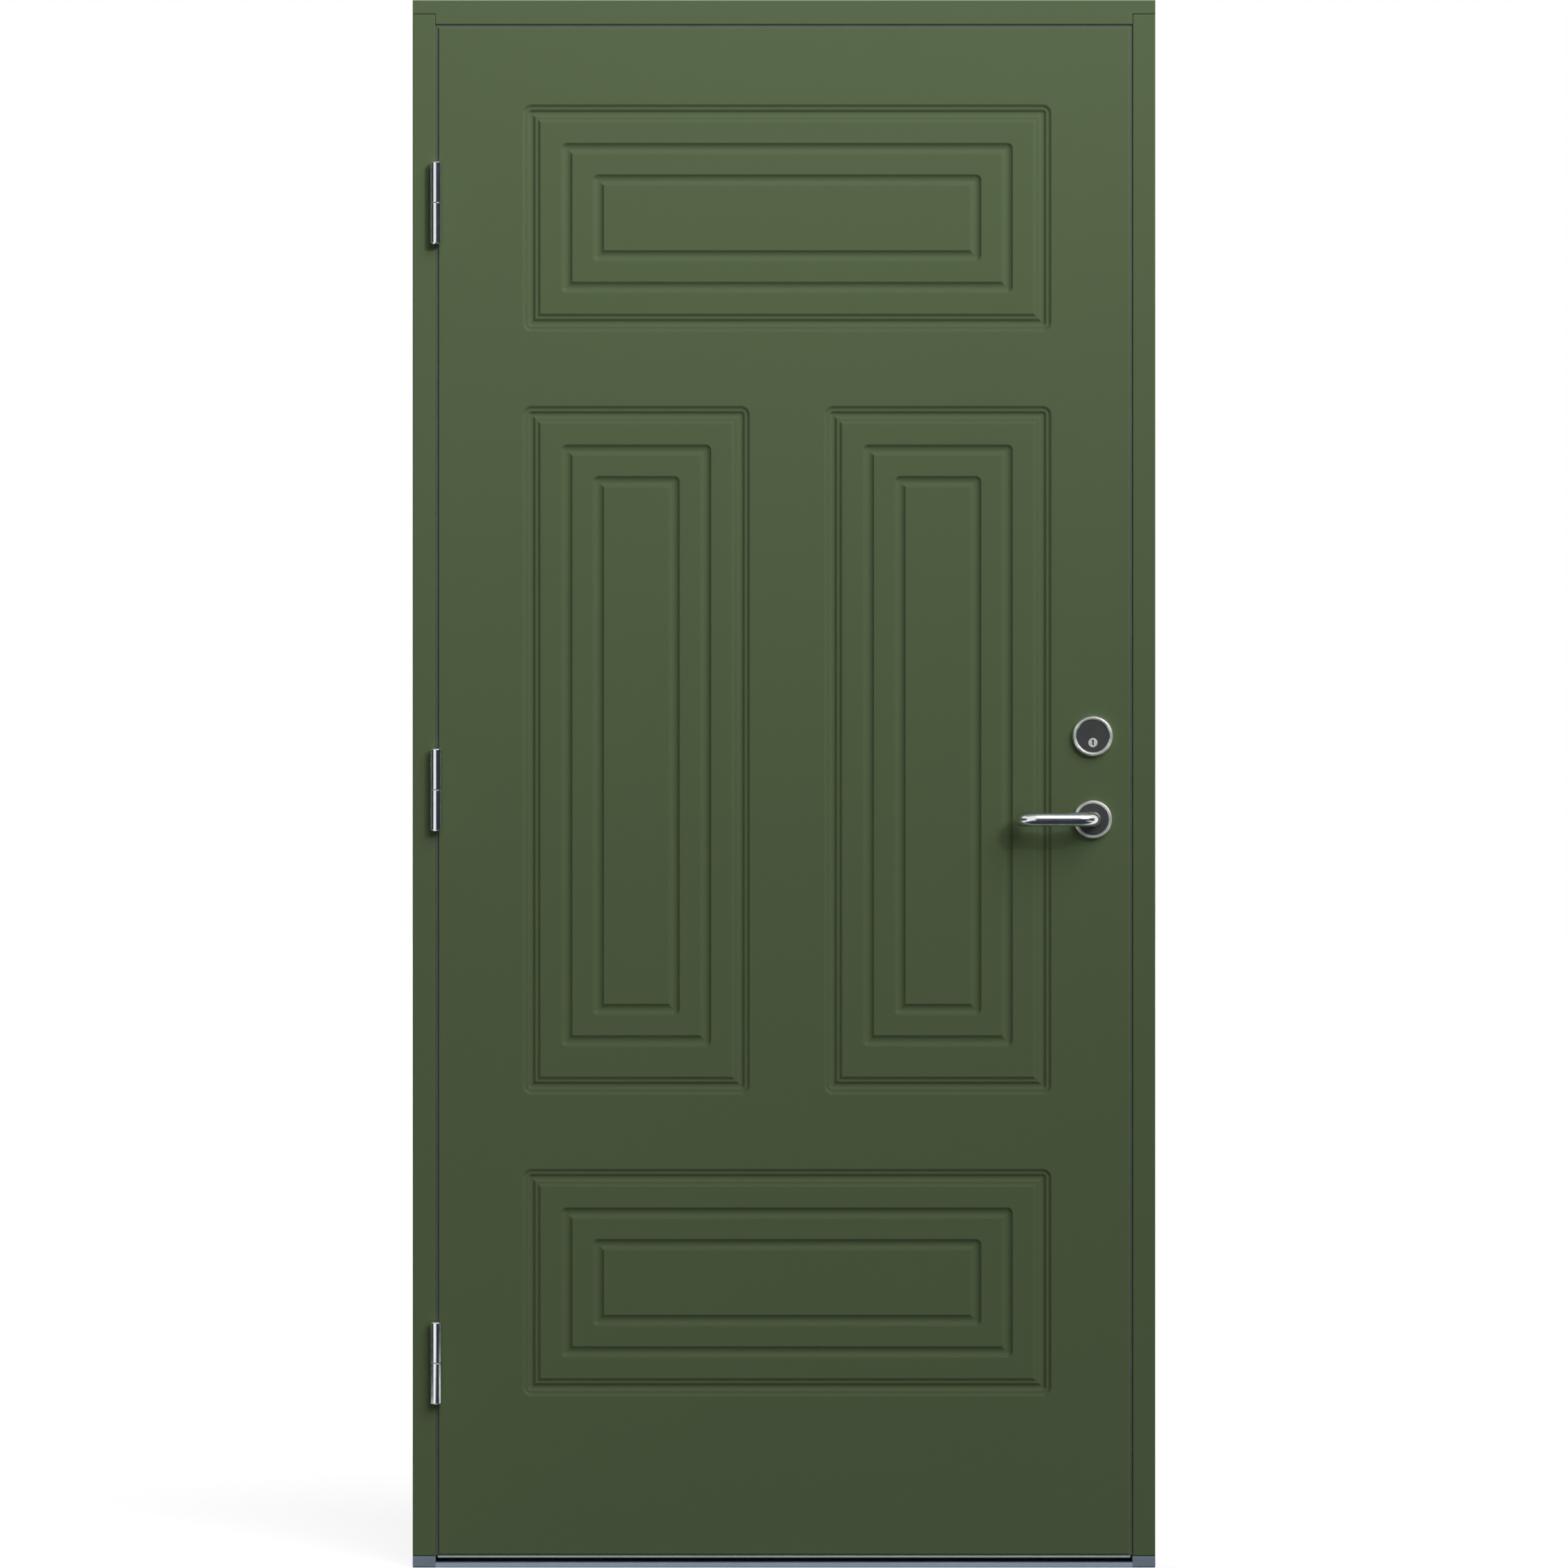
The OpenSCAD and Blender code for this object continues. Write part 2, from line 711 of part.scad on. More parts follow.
module hinge_frame_half(z) {
  color(chrome) difference() {
    union() {
      frame_plate(z);
      at_hinge(z) translate([0, 0, -bearing_t / 2]) mirror([0, 0, 1]) knuckle();
    }
    at_hinge(z) translate([0, 0, -bearing_t / 2 - pin_seat])
      cylinder(h = pin_seat + overrun, r = hinge_pin_r + press);
    jamb_screw_places(z) screw_hole(jamb_screw_l);
  }
}
module hinge_leaf_half(z) {
  color(chrome) difference() {
    union() {
      leaf_plate(z);
      at_hinge(z) translate([0, 0, bearing_t / 2]) knuckle();
    }
    at_hinge(z) translate([0, 0, bearing_t / 2 - overrun])
      cylinder(h = pin_seat + pin_end_gap + overrun, r = hinge_pin_r + fit);
    stile_screw_places(z) screw_hole(stile_screw_l);
  }
}
module top_hinge_frame_half() { hinge_frame_half(top_hinge_z); }
module middle_hinge_frame_half() { hinge_frame_half(mid_hinge_z); }
module bottom_hinge_frame_half() { hinge_frame_half(bottom_hinge_z); }
module top_hinge_leaf_half() { hinge_leaf_half(top_hinge_z); }
module middle_hinge_leaf_half() { hinge_leaf_half(mid_hinge_z); }
module bottom_hinge_leaf_half() { hinge_leaf_half(bottom_hinge_z); }
module hinge_pins() {
  low = -bearing_t / 2 - pin_seat;
  high = bearing_t / 2 + pin_seat;
  c = pin_chamfer;
  color(steel) for (z = hinge_zs) at_hinge(z)
    rotate_extrude() polygon([[0, low], [hinge_pin_r, low], [hinge_pin_r, high - c],
      [hinge_pin_r - c, high], [0, high]]);
}
module hinge_bearing_rings() {
  color(moulded_black) for (z = hinge_zs) at_hinge(z) translate([0, 0, -bearing_t / 2]) difference() {
    cylinder(h = bearing_t, r = knuckle_r - bearing_inset);
    translate([0, 0, -overrun]) cylinder(h = bearing_t + 2 * overrun, r = hinge_pin_r + fit);
  }
}
module hinge_frame_screws() {
  color(steel) for (z = hinge_zs) jamb_screw_places(z) wood_screw(jamb_screw_l);
}
module hinge_leaf_screws() {
  color(steel) for (z = hinge_zs) stile_screw_places(z) wood_screw(stile_screw_l);
}

// Router cutters in section: x across the groove, y up from the leaf's face
module step_cutter_half() {
  floor_x = step_floor_w / 2;
  land_in = floor_x + step_slope_w;
  land_out = land_in + step_land_w;
  polygon([[0, -2 * step_drop], [floor_x, -2 * step_drop], [land_in, -step_drop], [land_out, -step_drop],
    [step_half_w, 0], [step_half_w, overrun], [0, overrun]]);
}
module cove_cutter_half() {
  translate([0, cove_r - cove_depth]) intersection() {
    circle(r = cove_r);
    translate([0, -cove_r]) square([cove_r, 2 * cove_r]);
  }
}
module cutter_half(stepped) {
  if (stepped) step_cutter_half();
  else cove_cutter_half();
}
module cutter(stepped) {
  if (stepped) {
    step_cutter_half();
    mirror([1, 0]) step_cutter_half();
  } else {
    translate([0, cove_r - cove_depth]) circle(r = cove_r);
  }
}

// One groove routed around a rectangle from the origin: four runs, and the cutter's turn at each corner
module groove_run(length, stepped) {
  rotate([90, 0, 90]) linear_extrude(length) cutter(stepped);
}
module groove_corner(stepped) {
  rotate_extrude(angle = 90) cutter_half(stepped);
}
module groove_ring(w, h, stepped) {
  for (y = [0, h]) translate([0, y, 0]) groove_run(w, stepped);
  for (x = [0, w]) translate([x, 0, 0]) rotate(90) groove_run(h, stepped);
  translate([w, h, 0]) groove_corner(stepped);
  translate([0, h, 0]) rotate(90) groove_corner(stepped);
  rotate(180) groove_corner(stepped);
  translate([w, 0, 0]) rotate(270) groove_corner(stepped);
}
module panel_grooves(x, z, w, h, foot_in) {
  translate([x, z, 0]) {
    groove_ring(w, h, true);
    for (inset = [first_cove_in, first_cove_in + second_cove_in])
      translate([inset, inset + foot_in, 0]) groove_ring(w - 2 * inset, h - 2 * inset - foot_in, false);
  }
}
// All panels in the plane of the leaf's face, with the face's outward side up
module face_grooves() {
  low_z = leaf_floor + bottom_margin;
  high_z = leaf_top - top_margin - short_panel_h;
  for (z = [low_z, high_z]) panel_grooves(panel_left, z, wide_panel_w, short_panel_h, 0);
  for (x = [panel_left, panel_left + panel_w + panel_gap])
    panel_grooves(x, tall_panel_z, panel_w, tall_panel_h, tall_foot_in);
}

// A facing's blank lies on Z = 0 with its face up, chamfered around the face
module facing_blank() {
  a = leaf_arris;
  intersection() {
    translate([0, leaf_top, -facing_t]) rotate([90, 0, 0]) linear_extrude(leaf_h)
      polygon([[-leaf_x, 0], [leaf_x, 0], [leaf_x, facing_t - a], [leaf_x - a, facing_t],
        [a - leaf_x, facing_t], [-leaf_x, facing_t - a]]);
    translate([-leaf_x, 0, -facing_t]) rotate([90, 0, 90]) linear_extrude(leaf_w)
      polygon([[leaf_floor, 0], [leaf_top, 0], [leaf_top, facing_t - a], [leaf_top - a, facing_t],
        [leaf_floor + a, facing_t], [leaf_floor, facing_t - a]]);
  }
}
module routed_facing() {
  difference() {
    facing_blank();
    face_grooves();
  }
}

// Round holes through the leaf, along Y
module bore_y(x, z, r, from_y, to_y) {
  translate([x, from_y, z]) rotate([-90, 0, 0]) cylinder(h = to_y - from_y, r = r);
}
module handle_bolt_bores(r, from_y, to_y) {
  for (s = [-1, 1]) bore_y(lock_x + s * handle_bolt_in, handle_z, r, from_y, to_y);
}
module cylinder_screw_bores(r, from_y, to_y) {
  z = key_z + cylinder_screw_rise;
  for (s = [-1, 1]) bore_y(lock_x + s * cylinder_screw_in, z, r, from_y, to_y);
}
module outer_bores() {
  from_y = outer_y - overrun;
  bore_y(lock_x, handle_z, spindle_hole_r, from_y, lock_y);
  handle_bolt_bores(post_r + slide_clear, from_y, outer_y + post_l + slide_clear);
  handle_bolt_bores(handle_bolt_r + slide_clear, from_y, lock_y);
  bore_y(lock_x, ring_z, cylinder_body_d / 2 + slide_clear, from_y, lock_y);
}
module inner_bores() {
  to_y = leaf_inner_y + overrun;
  bore_y(lock_x, handle_z, spindle_hole_r, lock_y, to_y);
  handle_bolt_bores(handle_bolt_r + slide_clear, lock_y, to_y);
  bore_y(lock_x, key_z, turn_hole_r, lock_y, to_y);
  cylinder_screw_bores(cylinder_screw_r + slide_clear, lock_y, to_y);
}

module outer_facing() {
  color(paint) difference() {
    translate([0, outer_y, 0]) rotate([90, 0, 0]) routed_facing();
    for (z = hinge_zs) leaf_plate(z);
    outer_bores();
  }
}
module inner_facing() {
  color(paint) difference() {
    translate([0, leaf_inner_y, 0]) mirror([0, 1, 0]) rotate([90, 0, 0]) routed_facing();
    inner_bores();
  }
}
module hinge_stile() {
  color(timber) difference() {
    block([-leaf_x, outer_core_y, leaf_floor], [hinge_stile_w - leaf_x, inner_core_y, leaf_top]);
    for (z = hinge_zs) {
      leaf_plate(z);
      stile_screw_places(z) screw_hole(stile_screw_l);
    }
  }
}
module lock_stile() {
  c = case_clear;
  color(timber) difference() {
    block([leaf_x - lock_stile_w, outer_core_y, leaf_floor], [leaf_x, inner_core_y, leaf_top]);
    block([case_x - c, case_y - c, case_bottom - c],
      [leaf_x + overrun, case_inner_y + c, case_bottom + case_h + c]);
    forend_blank();
    plate_end_places(leaf_x, 90) screw_hole(forend_screw_l);
    outer_bores();
    inner_bores();
  }
}
module rail(low, high) {
  block([hinge_stile_w - leaf_x, outer_core_y, low], [leaf_x - lock_stile_w, inner_core_y, high]);
}
module top_rail() {
  color(timber) rail(leaf_top - top_rail_h, leaf_top);
}
module bottom_rail() {
  color(timber) difference() {
    rail(leaf_floor, leaf_floor + bottom_rail_h);
    drip_screw_places() screw_hole(drip_screw_l);
  }
}
module insulation_core() {
  color(foam) rail(leaf_floor + bottom_rail_h, leaf_top - top_rail_h);
}

// Drip rail: a nose under the leaf's outer edge on a thinner plate
module drip_rail() {
  t = drip_rail_h / 2;
  color(aluminium) difference() {
    translate([-leaf_x, 0, leaf_floor]) rotate([90, 0, 90]) linear_extrude(leaf_w)
      polygon([[outer_y + t, 0], [outer_y, -t / 2], [outer_y, -drip_rail_h],
        [outer_y + facing_t, -drip_rail_h], [outer_y + facing_t + t, -t], [inner_core_y, -t],
        [inner_core_y, 0]]);
    drip_screw_places() screw_hole(drip_screw_l);
  }
}
module drip_rail_screws() {
  color(steel) drip_screw_places() wood_screw(drip_screw_l);
}

// Edge seal: one strip up the hinge edge, over the top and down the lock edge, in the gap to the frame
module edge_seal() {
  far_y = edge_seal_y + edge_seal_t;
  color(slate_rubber) difference() {
    block([-leaf_x - edge_seal_w, edge_seal_y, leaf_floor],
      [leaf_x + edge_seal_w, far_y, leaf_top + edge_seal_w]);
    block([-leaf_x, edge_seal_y - overrun, leaf_floor - overrun], [leaf_x, far_y + overrun, leaf_top]);
  }
}

// Lock case: a tray open to the inside of the house, its cover, and the forend on the leaf's edge
module lock_case() {
  w = case_wall;
  front_x = leaf_x - forend_t;
  color(steel) difference() {
    union() {
      difference() {
        block([case_x, case_y, case_bottom], [front_x, cover_y, case_bottom + case_h]);
        block([case_x + w, case_y + w, case_bottom + w],
          [front_x + overrun, cover_y + overrun, case_bottom + case_h - w]);
      }
      latch_guide();
      block([case_x + w, case_y + w, bolt_tail_low - slide_clear - rail_h],
        [bolt_back_x - slide_clear, bolt_tail_y + bolt_tail_t, bolt_tail_low - slide_clear]);
    }
    bore_y(lock_x, handle_z, follower_r + fit, case_y - overrun, lock_y);
    bore_y(lock_x, key_z, plug_r, case_y - overrun, lock_y);
    handle_bolt_bores(handle_bolt_r + slide_clear, case_y - overrun, lock_y);
    cylinder_screw_bores(cylinder_screw_r + slide_clear, case_y - overrun, lock_y);
  }
}
module latch_guide() {
  c = slide_clear;
  difference() {
    block([guide_x, case_y + case_wall, latch_z - guide_h / 2],
      [guide_x + guide_w, cover_y, latch_z + guide_h / 2]);
    block([guide_x - overrun, lock_y - arm_t / 2 - c, latch_z - latch_bar_h / 2 - c],
      [guide_x + guide_w + overrun, lock_y + arm_t / 2 + c, latch_z + latch_bar_h / 2 + c]);
  }
}
module lock_cover() {
  to_y = case_inner_y + overrun;
  color(steel) difference() {
    block([case_x, cover_y, case_bottom], [leaf_x - forend_t, case_inner_y, case_bottom + case_h]);
    bore_y(lock_x, handle_z, follower_r + fit, lock_y, to_y);
    bore_y(lock_x, key_z, cam_journal_r + fit, lock_y, to_y);
    handle_bolt_bores(handle_bolt_r + slide_clear, lock_y, to_y);
    cylinder_screw_bores(cylinder_screw_r + slide_clear, lock_y, to_y);
  }
}
module forend_blank() {
  block([leaf_x - forend_t, lock_y - forend_w / 2, forend_z],
    [leaf_x, lock_y + forend_w / 2, forend_z + forend_h]);
}
module forend_hole(z, h) {
  c = bolt_clear;
  block([leaf_x - forend_t - overrun, lock_y - bolt_w / 2 - c, z - h / 2 - c],
    [leaf_x + overrun, lock_y + bolt_w / 2 + c, z + h / 2 + c]);
}
module lock_forend() {
  color(steel) difference() {
    forend_blank();
    forend_hole(latch_z, latch_h);
    forend_hole(bolt_z, bolt_h);
    plate_end_places(leaf_x, 90) screw_hole(forend_screw_l);
  }
}
module forend_screws() {
  color(steel) plate_end_places(leaf_x, 90) wood_screw(forend_screw_l);
}

// Roses: a rimmed cup whose floor carries the lever, and a dark plate let into it
module at_outer(z) {
  translate([lock_x, outer_y, z]) rotate([90, 0, 0]) children();
}
module at_inner(z) {
  translate([lock_x, leaf_inner_y, z]) rotate([-90, 0, 0]) children();
}
module rose() {
  inner_r = rose_r - rose_rim;
  a = rose_arris;
  rotate_extrude() polygon([[lever_r + fit, 0], [rose_r, 0], [rose_r, rose_h - a], [rose_r - a, rose_h],
    [inner_r + a, rose_h], [inner_r, rose_h - a], [inner_r, rose_floor_t], [lever_r + fit, rose_floor_t]]);
}
module rose_plate() {
  low = rose_floor_t;
  high = rose_h - rose_recess;
  r = rose_r - rose_rim - rose_plate_gap;
  in_r = lever_r + neck_clear;
  rotate_extrude() polygon([[in_r, low], [r, low], [r, high], [in_r, high]]);
}
module outer_rose() {
  post_y = outer_y + post_l;
  color(chrome) difference() {
    union() {
      at_outer(handle_z) rose();
      handle_bolt_bores(post_r, outer_y, post_y);
    }
    handle_bolt_bores(handle_bolt_r + press, outer_y, post_y + overrun);
  }
}
module outer_rose_plate() {
  color(dark_metal) at_outer(handle_z) rose_plate();
}
module inner_rose() {
  seat_y = leaf_inner_y + rose_floor_t;
  color(chrome) difference() {
    at_inner(handle_z) rose();
    handle_bolt_bores(handle_bolt_r + slide_clear, leaf_inner_y - overrun, seat_y + overrun);
    handle_bolt_bores(handle_bolt_head_r + slide_clear, seat_y - handle_bolt_head_h, seat_y + overrun);
  }
}
module inner_rose_plate() {
  color(dark_metal) at_inner(handle_z) rose_plate();
}
module handle_bolts() {
  seat_y = leaf_inner_y + rose_floor_t;
  color(steel) {
    handle_bolt_bores(handle_bolt_r, outer_y + post_wall_end, seat_y - handle_bolt_head_h);
    handle_bolt_bores(handle_bolt_head_r, seat_y - handle_bolt_head_h, seat_y);
  }
}

// Lever: a round bar with a neck on the spindle, two bends and a return, drawn for the outer side
module lever_bend(x, turn) {
  translate([x, lever_y + lever_bend_r, handle_z]) rotate(turn) rotate_extrude(angle = 90)
    translate([lever_bend_r, 0]) circle(r = lever_r);
}
module lever() {
  bend_y = lever_y + lever_bend_r;
  grip_from = lever_end_x + lever_bend_r;
  grip_to = lock_x - lever_bend_r;
  c = return_round;
  difference() {
    union() {
      bore_y(lock_x, handle_z, lever_r, bend_y, outer_y - neck_set_off);
      lever_bend(grip_to, 270);
      translate([grip_from, lever_y, handle_z]) rotate([0, 90, 0])
        cylinder(h = grip_to - grip_from, r = lever_r);
      lever_bend(grip_from, 180);
      translate([lever_end_x, bend_y, handle_z]) rotate([-90, 0, 0]) rotate_extrude()
        polygon([[0, 0], [lever_r, 0], [lever_r, return_l - c], [lever_r - c, return_l],
          [0, return_l]]);
    }
    spindle_bar(fit);
    grub_screw(overrun);
  }
}
module spindle_bar(grow) {
  half = spindle_w / 2 + grow;
  reach = spindle_in_lever + grow;
  block([lock_x - half, outer_y - reach, handle_z - half],
    [lock_x + half, leaf_inner_y + reach, handle_z + half]);
}
module grub_screw(past) {
  y = outer_y - lever_stand * grub_share;
  translate([lock_x, y, handle_z - lever_r - past])
    cylinder(h = lever_r - spindle_w / 2 + past, r = grub_r);
}
module to_inner_side() {
  translate([0, 2 * lock_y, 0]) mirror([0, 1, 0]) children();
}
module outer_lever() {
  color(chrome) lever();
}
module inner_lever() {
  color(chrome) to_inner_side() lever();
}
module spindle() {
  color(steel) spindle_bar(0);
}
module lever_grub_screws() {
  color(steel) {
    grub_screw(0);
    to_inner_side() grub_screw(0);
  }
}
module follower() {
  half = spindle_w / 2 + fit;
  flange_y = case_y + case_wall + slide_clear;
  color(steel) difference() {
    union() {
      bore_y(lock_x, handle_z, follower_r, case_y, case_inner_y);
      bore_y(lock_x, handle_z, follower_flange_r, flange_y, flange_y + follower_flange_t);
      block([lock_x - arm_w / 2, lock_y - arm_t / 2, handle_z],
        [lock_x + arm_w / 2, lock_y + arm_t / 2, handle_z + arm_reach]);
    }
    block([lock_x - half, case_y - overrun, handle_z - half],
      [lock_x + half, case_inner_y + overrun, handle_z + half]);
  }
}

// Latch bolt: a bevelled head, a bar through the guide, a lug for the follower and the spring's stub
module latch_bolt() {
  tip_x = leaf_x + latch_travel;
  back_x = leaf_x - forend_t - latch_body_l;
  half = bolt_w / 2;
  low_y = lock_y - arm_t / 2;
  high_y = lock_y + arm_t / 2;
  bar_top = latch_z + latch_bar_h / 2;
  color(steel) {
    translate([0, lock_y, latch_z - latch_h / 2]) linear_extrude(latch_h)
      polygon([[back_x, -half], [tip_x, -half], [tip_x - latch_slope, half], [back_x, half]]);
    block([lug_x, low_y, latch_z - latch_bar_h / 2], [back_x, high_y, bar_top]);
    block([lug_x, low_y, handle_z + lug_rise], [lug_x + lug_w, high_y, bar_top]);
    translate([lug_x, lock_y, latch_z]) rotate([0, -90, 0]) cylinder(h = stub_l, r = stub_r);
  }
}

// Latch spring: a round wire on a helix, swept as rings of points
function spring_point(i, ring_r, a, from_x, length) =
  let (turn = 360 * i / spring_steps, rise = length * i / (spring_turns * spring_steps))
  [from_x + rise + ring_r * cos(a), lock_y + (spring_r + ring_r * sin(a)) * cos(turn),
    latch_z + (spring_r + ring_r * sin(a)) * sin(turn)];
module latch_spring() {
  from_x = case_x + case_wall + spring_wire_r + slide_clear;
  length = lug_x - slide_clear - spring_wire_r - from_x;
  rings = spring_turns * spring_steps;
  n = spring_sides;
  points = [for (i = [0 : rings]) for (k = [0 : n - 1])
    spring_point(i, spring_wire_r, 360 * k / n, from_x, length)];
  sides = [for (i = [0 : rings - 1]) for (k = [0 : n - 1])
    [i * n + k, i * n + (k + 1) % n, (i + 1) * n + (k + 1) % n, (i + 1) * n + k]];
  first = [for (k = [n - 1 : -1 : 0]) k];
  last = [for (k = [0 : n - 1]) rings * n + k];
  color(steel) polyhedron(points, concat(sides, [first], [last]));
}

// Deadbolt: a plain head and a slotted tail that the cam's pin drives
module deadbolt() {
  half = bolt_w / 2;
  front_x = leaf_x - bolt_set_back;
  slot = cam_pin_r + cam_pin_clear;
  color(steel) difference() {
    union() {
      block([bolt_back_x, lock_y - half, bolt_z - bolt_h / 2],
        [front_x, lock_y + half, bolt_z + bolt_h / 2]);
      block([bolt_tail_x, bolt_tail_y, bolt_tail_low],
        [bolt_back_x, bolt_tail_y + bolt_tail_t, bolt_tail_high]);
    }
    block([bolt_pin_x - slot, bolt_tail_y - overrun, bolt_slot_low],
      [bolt_pin_x + slot, bolt_tail_y + bolt_tail_t + overrun, bolt_slot_high]);
  }
}
module bolt_cam() {
  half = turn_square / 2 + fit;
  color(steel) difference() {
    union() {
      bore_y(lock_x, key_z, cam_hub_r, cam_y, cover_y - slide_clear);
      bore_y(lock_x, key_z, cam_journal_r, cam_y, case_inner_y);
      translate([lock_x, 0, key_z]) rotate([0, cam_turn / 2, 0]) {
        block([-cam_arm_w / 2, cam_y, -cam_r], [cam_arm_w / 2, cam_y + cam_arm_t, cam_arm_root]);
        bore_y(0, -cam_r, cam_boss_r, cam_y, cam_y + cam_arm_t);
        bore_y(0, -cam_r, cam_pin_r, bolt_tail_y, cam_y + cam_arm_t);
      }
    }
    bore_y(lock_x, key_z, cam_socket_r, cam_y - overrun, cam_y + cam_socket_d);
    block([lock_x - half, cam_y + overrun, key_z - half],
      [lock_x + half, case_inner_y + overrun, key_z + half]);
  }
}
module thumb_turn() {
  half = turn_square / 2;
  stem_y = leaf_inner_y + turn_rose_h;
  grip_y = stem_y + turn_stem_l;
  straight = turn_grip_l - turn_grip_w;
  color(chrome) {
    block([lock_x - half, cam_y + cam_socket_d, key_z - half],
      [lock_x + half, leaf_inner_y + turn_rose_floor_t, key_z + half]);
    bore_y(lock_x, key_z, turn_shaft_r, leaf_inner_y + turn_rose_floor_t / 2, grip_y);
    translate([lock_x, grip_y + turn_grip_h, key_z]) rotate([90, 0, 0])
      linear_extrude(turn_grip_h + turn_stem_l / 2) {
        square([turn_grip_w, straight], center = true);
        for (s = [-1, 1]) translate([0, s * straight / 2]) circle(d = turn_grip_w);
      }
  }
}
module thumb_turn_rose() {
  seat_y = leaf_inner_y + turn_rose_floor_t;
  a = rose_arris;
  color(chrome) difference() {
    at_inner(key_z) rotate_extrude() polygon([[turn_shaft_r + fit, 0], [turn_rose_r, 0],
      [turn_rose_r, turn_rose_h - a], [turn_rose_r - a, turn_rose_h], [turn_shaft_r + fit, turn_rose_h]]);
    cylinder_screw_bores(cylinder_screw_r + slide_clear, leaf_inner_y - overrun, seat_y + overrun);
    cylinder_screw_bores(handle_bolt_head_r + slide_clear, seat_y - handle_bolt_head_h,
      leaf_inner_y + turn_rose_h + overrun);
  }
}

// Cylinder: a ring on the leaf's face, the body that the ring surrounds, and the plug that turns in it
module cylinder_ring() {
  face_r = cylinder_face_d / 2 + face_gap;
  hole_r = cylinder_body_d / 2 + face_gap;
  a = ring_round;
  color(chrome) at_outer(ring_z) rotate_extrude() polygon([[hole_r, 0], [ring_r, 0],
    [ring_r, ring_h - 2 * a], [ring_r - a / 2, ring_h - a / 2], [ring_r - a, ring_h],
    [face_r + a / 2, ring_h], [face_r, ring_h - a / 2], [face_r, ring_lip_t], [hole_r, ring_lip_t]]);
}
module cylinder_body() {
  face_y = outer_y - ring_h + face_sink;
  groove_r = plug_r + plug_groove_w;
  color(dark_metal) difference() {
    union() {
      bore_y(lock_x, ring_z, cylinder_face_d / 2, face_y, outer_y - ring_lip_t);
      bore_y(lock_x, ring_z, cylinder_body_d / 2, face_y, case_y);
    }
    bore_y(lock_x, key_z, plug_r + fit, face_y - overrun, case_y + overrun);
    bore_y(lock_x, key_z, groove_r, face_y - overrun, face_y + plug_groove_d);
    cylinder_screw_bores(cylinder_screw_r + press, case_y - cylinder_screw_grip, case_y + overrun);
  }
}
module cylinder_screws() {
  seat_y = leaf_inner_y + turn_rose_floor_t;
  color(steel) {
    cylinder_screw_bores(cylinder_screw_r, case_y - cylinder_screw_grip, seat_y - handle_bolt_head_h);
    cylinder_screw_bores(handle_bolt_head_r, seat_y - handle_bolt_head_h, seat_y);
  }
}
module cylinder_plug() {
  front_y = outer_y - ring_h + face_sink - plug_proud;
  slot_half = (keyway_h - keyway_bulge_r) / 2;
  color(chrome) difference() {
    union() {
      bore_y(lock_x, key_z, plug_r, front_y, plug_end_y);
      block([lock_x - tail_t / 2, plug_end_y, key_z - tail_w / 2],
        [lock_x + tail_t / 2, cam_y + cam_socket_d - slide_clear, key_z + tail_w / 2]);
    }
    block([lock_x - keyway_w / 2, front_y - overrun, key_z - slot_half],
      [lock_x + keyway_w / 2, front_y + keyway_d, key_z + slot_half]);
    for (s = [-1, 1])
      bore_y(lock_x, key_z + s * slot_half, keyway_bulge_r, front_y - overrun, front_y + keyway_d);
  }
}

hinge_jamb();
lock_jamb();
frame_head();
sill();
hinge_side_foot();
lock_side_foot();
hinge_side_seal();
lock_side_seal();
head_seal();
sill_seal();
strike_plate();
strike_boxes();
strike_screws();
frame_screws();
fixing_sleeves();
top_hinge_frame_half();
middle_hinge_frame_half();
bottom_hinge_frame_half();
hinge_pins();
hinge_bearing_rings();
hinge_frame_screws();
outer_facing();
inner_facing();
hinge_stile();
lock_stile();
top_rail();
bottom_rail();
insulation_core();
drip_rail();
drip_rail_screws();
edge_seal();
top_hinge_leaf_half();
middle_hinge_leaf_half();
bottom_hinge_leaf_half();
hinge_leaf_screws();
lock_case();
lock_cover();
lock_forend();
forend_screws();
outer_rose();
outer_rose_plate();
inner_rose();
inner_rose_plate();
handle_bolts();
cylinder_ring();
cylinder_body();
cylinder_screws();
thumb_turn_rose();
outer_lever();
inner_lever();
spindle();
follower();
lever_grub_screws();
latch_bolt();
latch_spring();
deadbolt();
thumb_turn();
bolt_cam();
cylinder_plug();
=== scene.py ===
import math

import bpy
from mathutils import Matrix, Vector


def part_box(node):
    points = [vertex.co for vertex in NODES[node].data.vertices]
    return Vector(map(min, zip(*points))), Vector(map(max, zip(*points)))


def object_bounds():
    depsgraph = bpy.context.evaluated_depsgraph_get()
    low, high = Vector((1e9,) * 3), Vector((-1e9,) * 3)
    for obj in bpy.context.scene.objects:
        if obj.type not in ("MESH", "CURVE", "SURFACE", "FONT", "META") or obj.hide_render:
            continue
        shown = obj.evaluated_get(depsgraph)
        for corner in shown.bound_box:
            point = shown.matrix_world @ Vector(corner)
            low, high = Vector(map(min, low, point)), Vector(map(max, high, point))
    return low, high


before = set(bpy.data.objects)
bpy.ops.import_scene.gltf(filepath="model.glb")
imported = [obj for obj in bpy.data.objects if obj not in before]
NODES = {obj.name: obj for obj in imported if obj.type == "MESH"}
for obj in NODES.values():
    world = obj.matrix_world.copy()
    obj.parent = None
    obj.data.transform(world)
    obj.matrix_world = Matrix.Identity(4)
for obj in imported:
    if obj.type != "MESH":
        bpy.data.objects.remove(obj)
CAD_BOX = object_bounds()

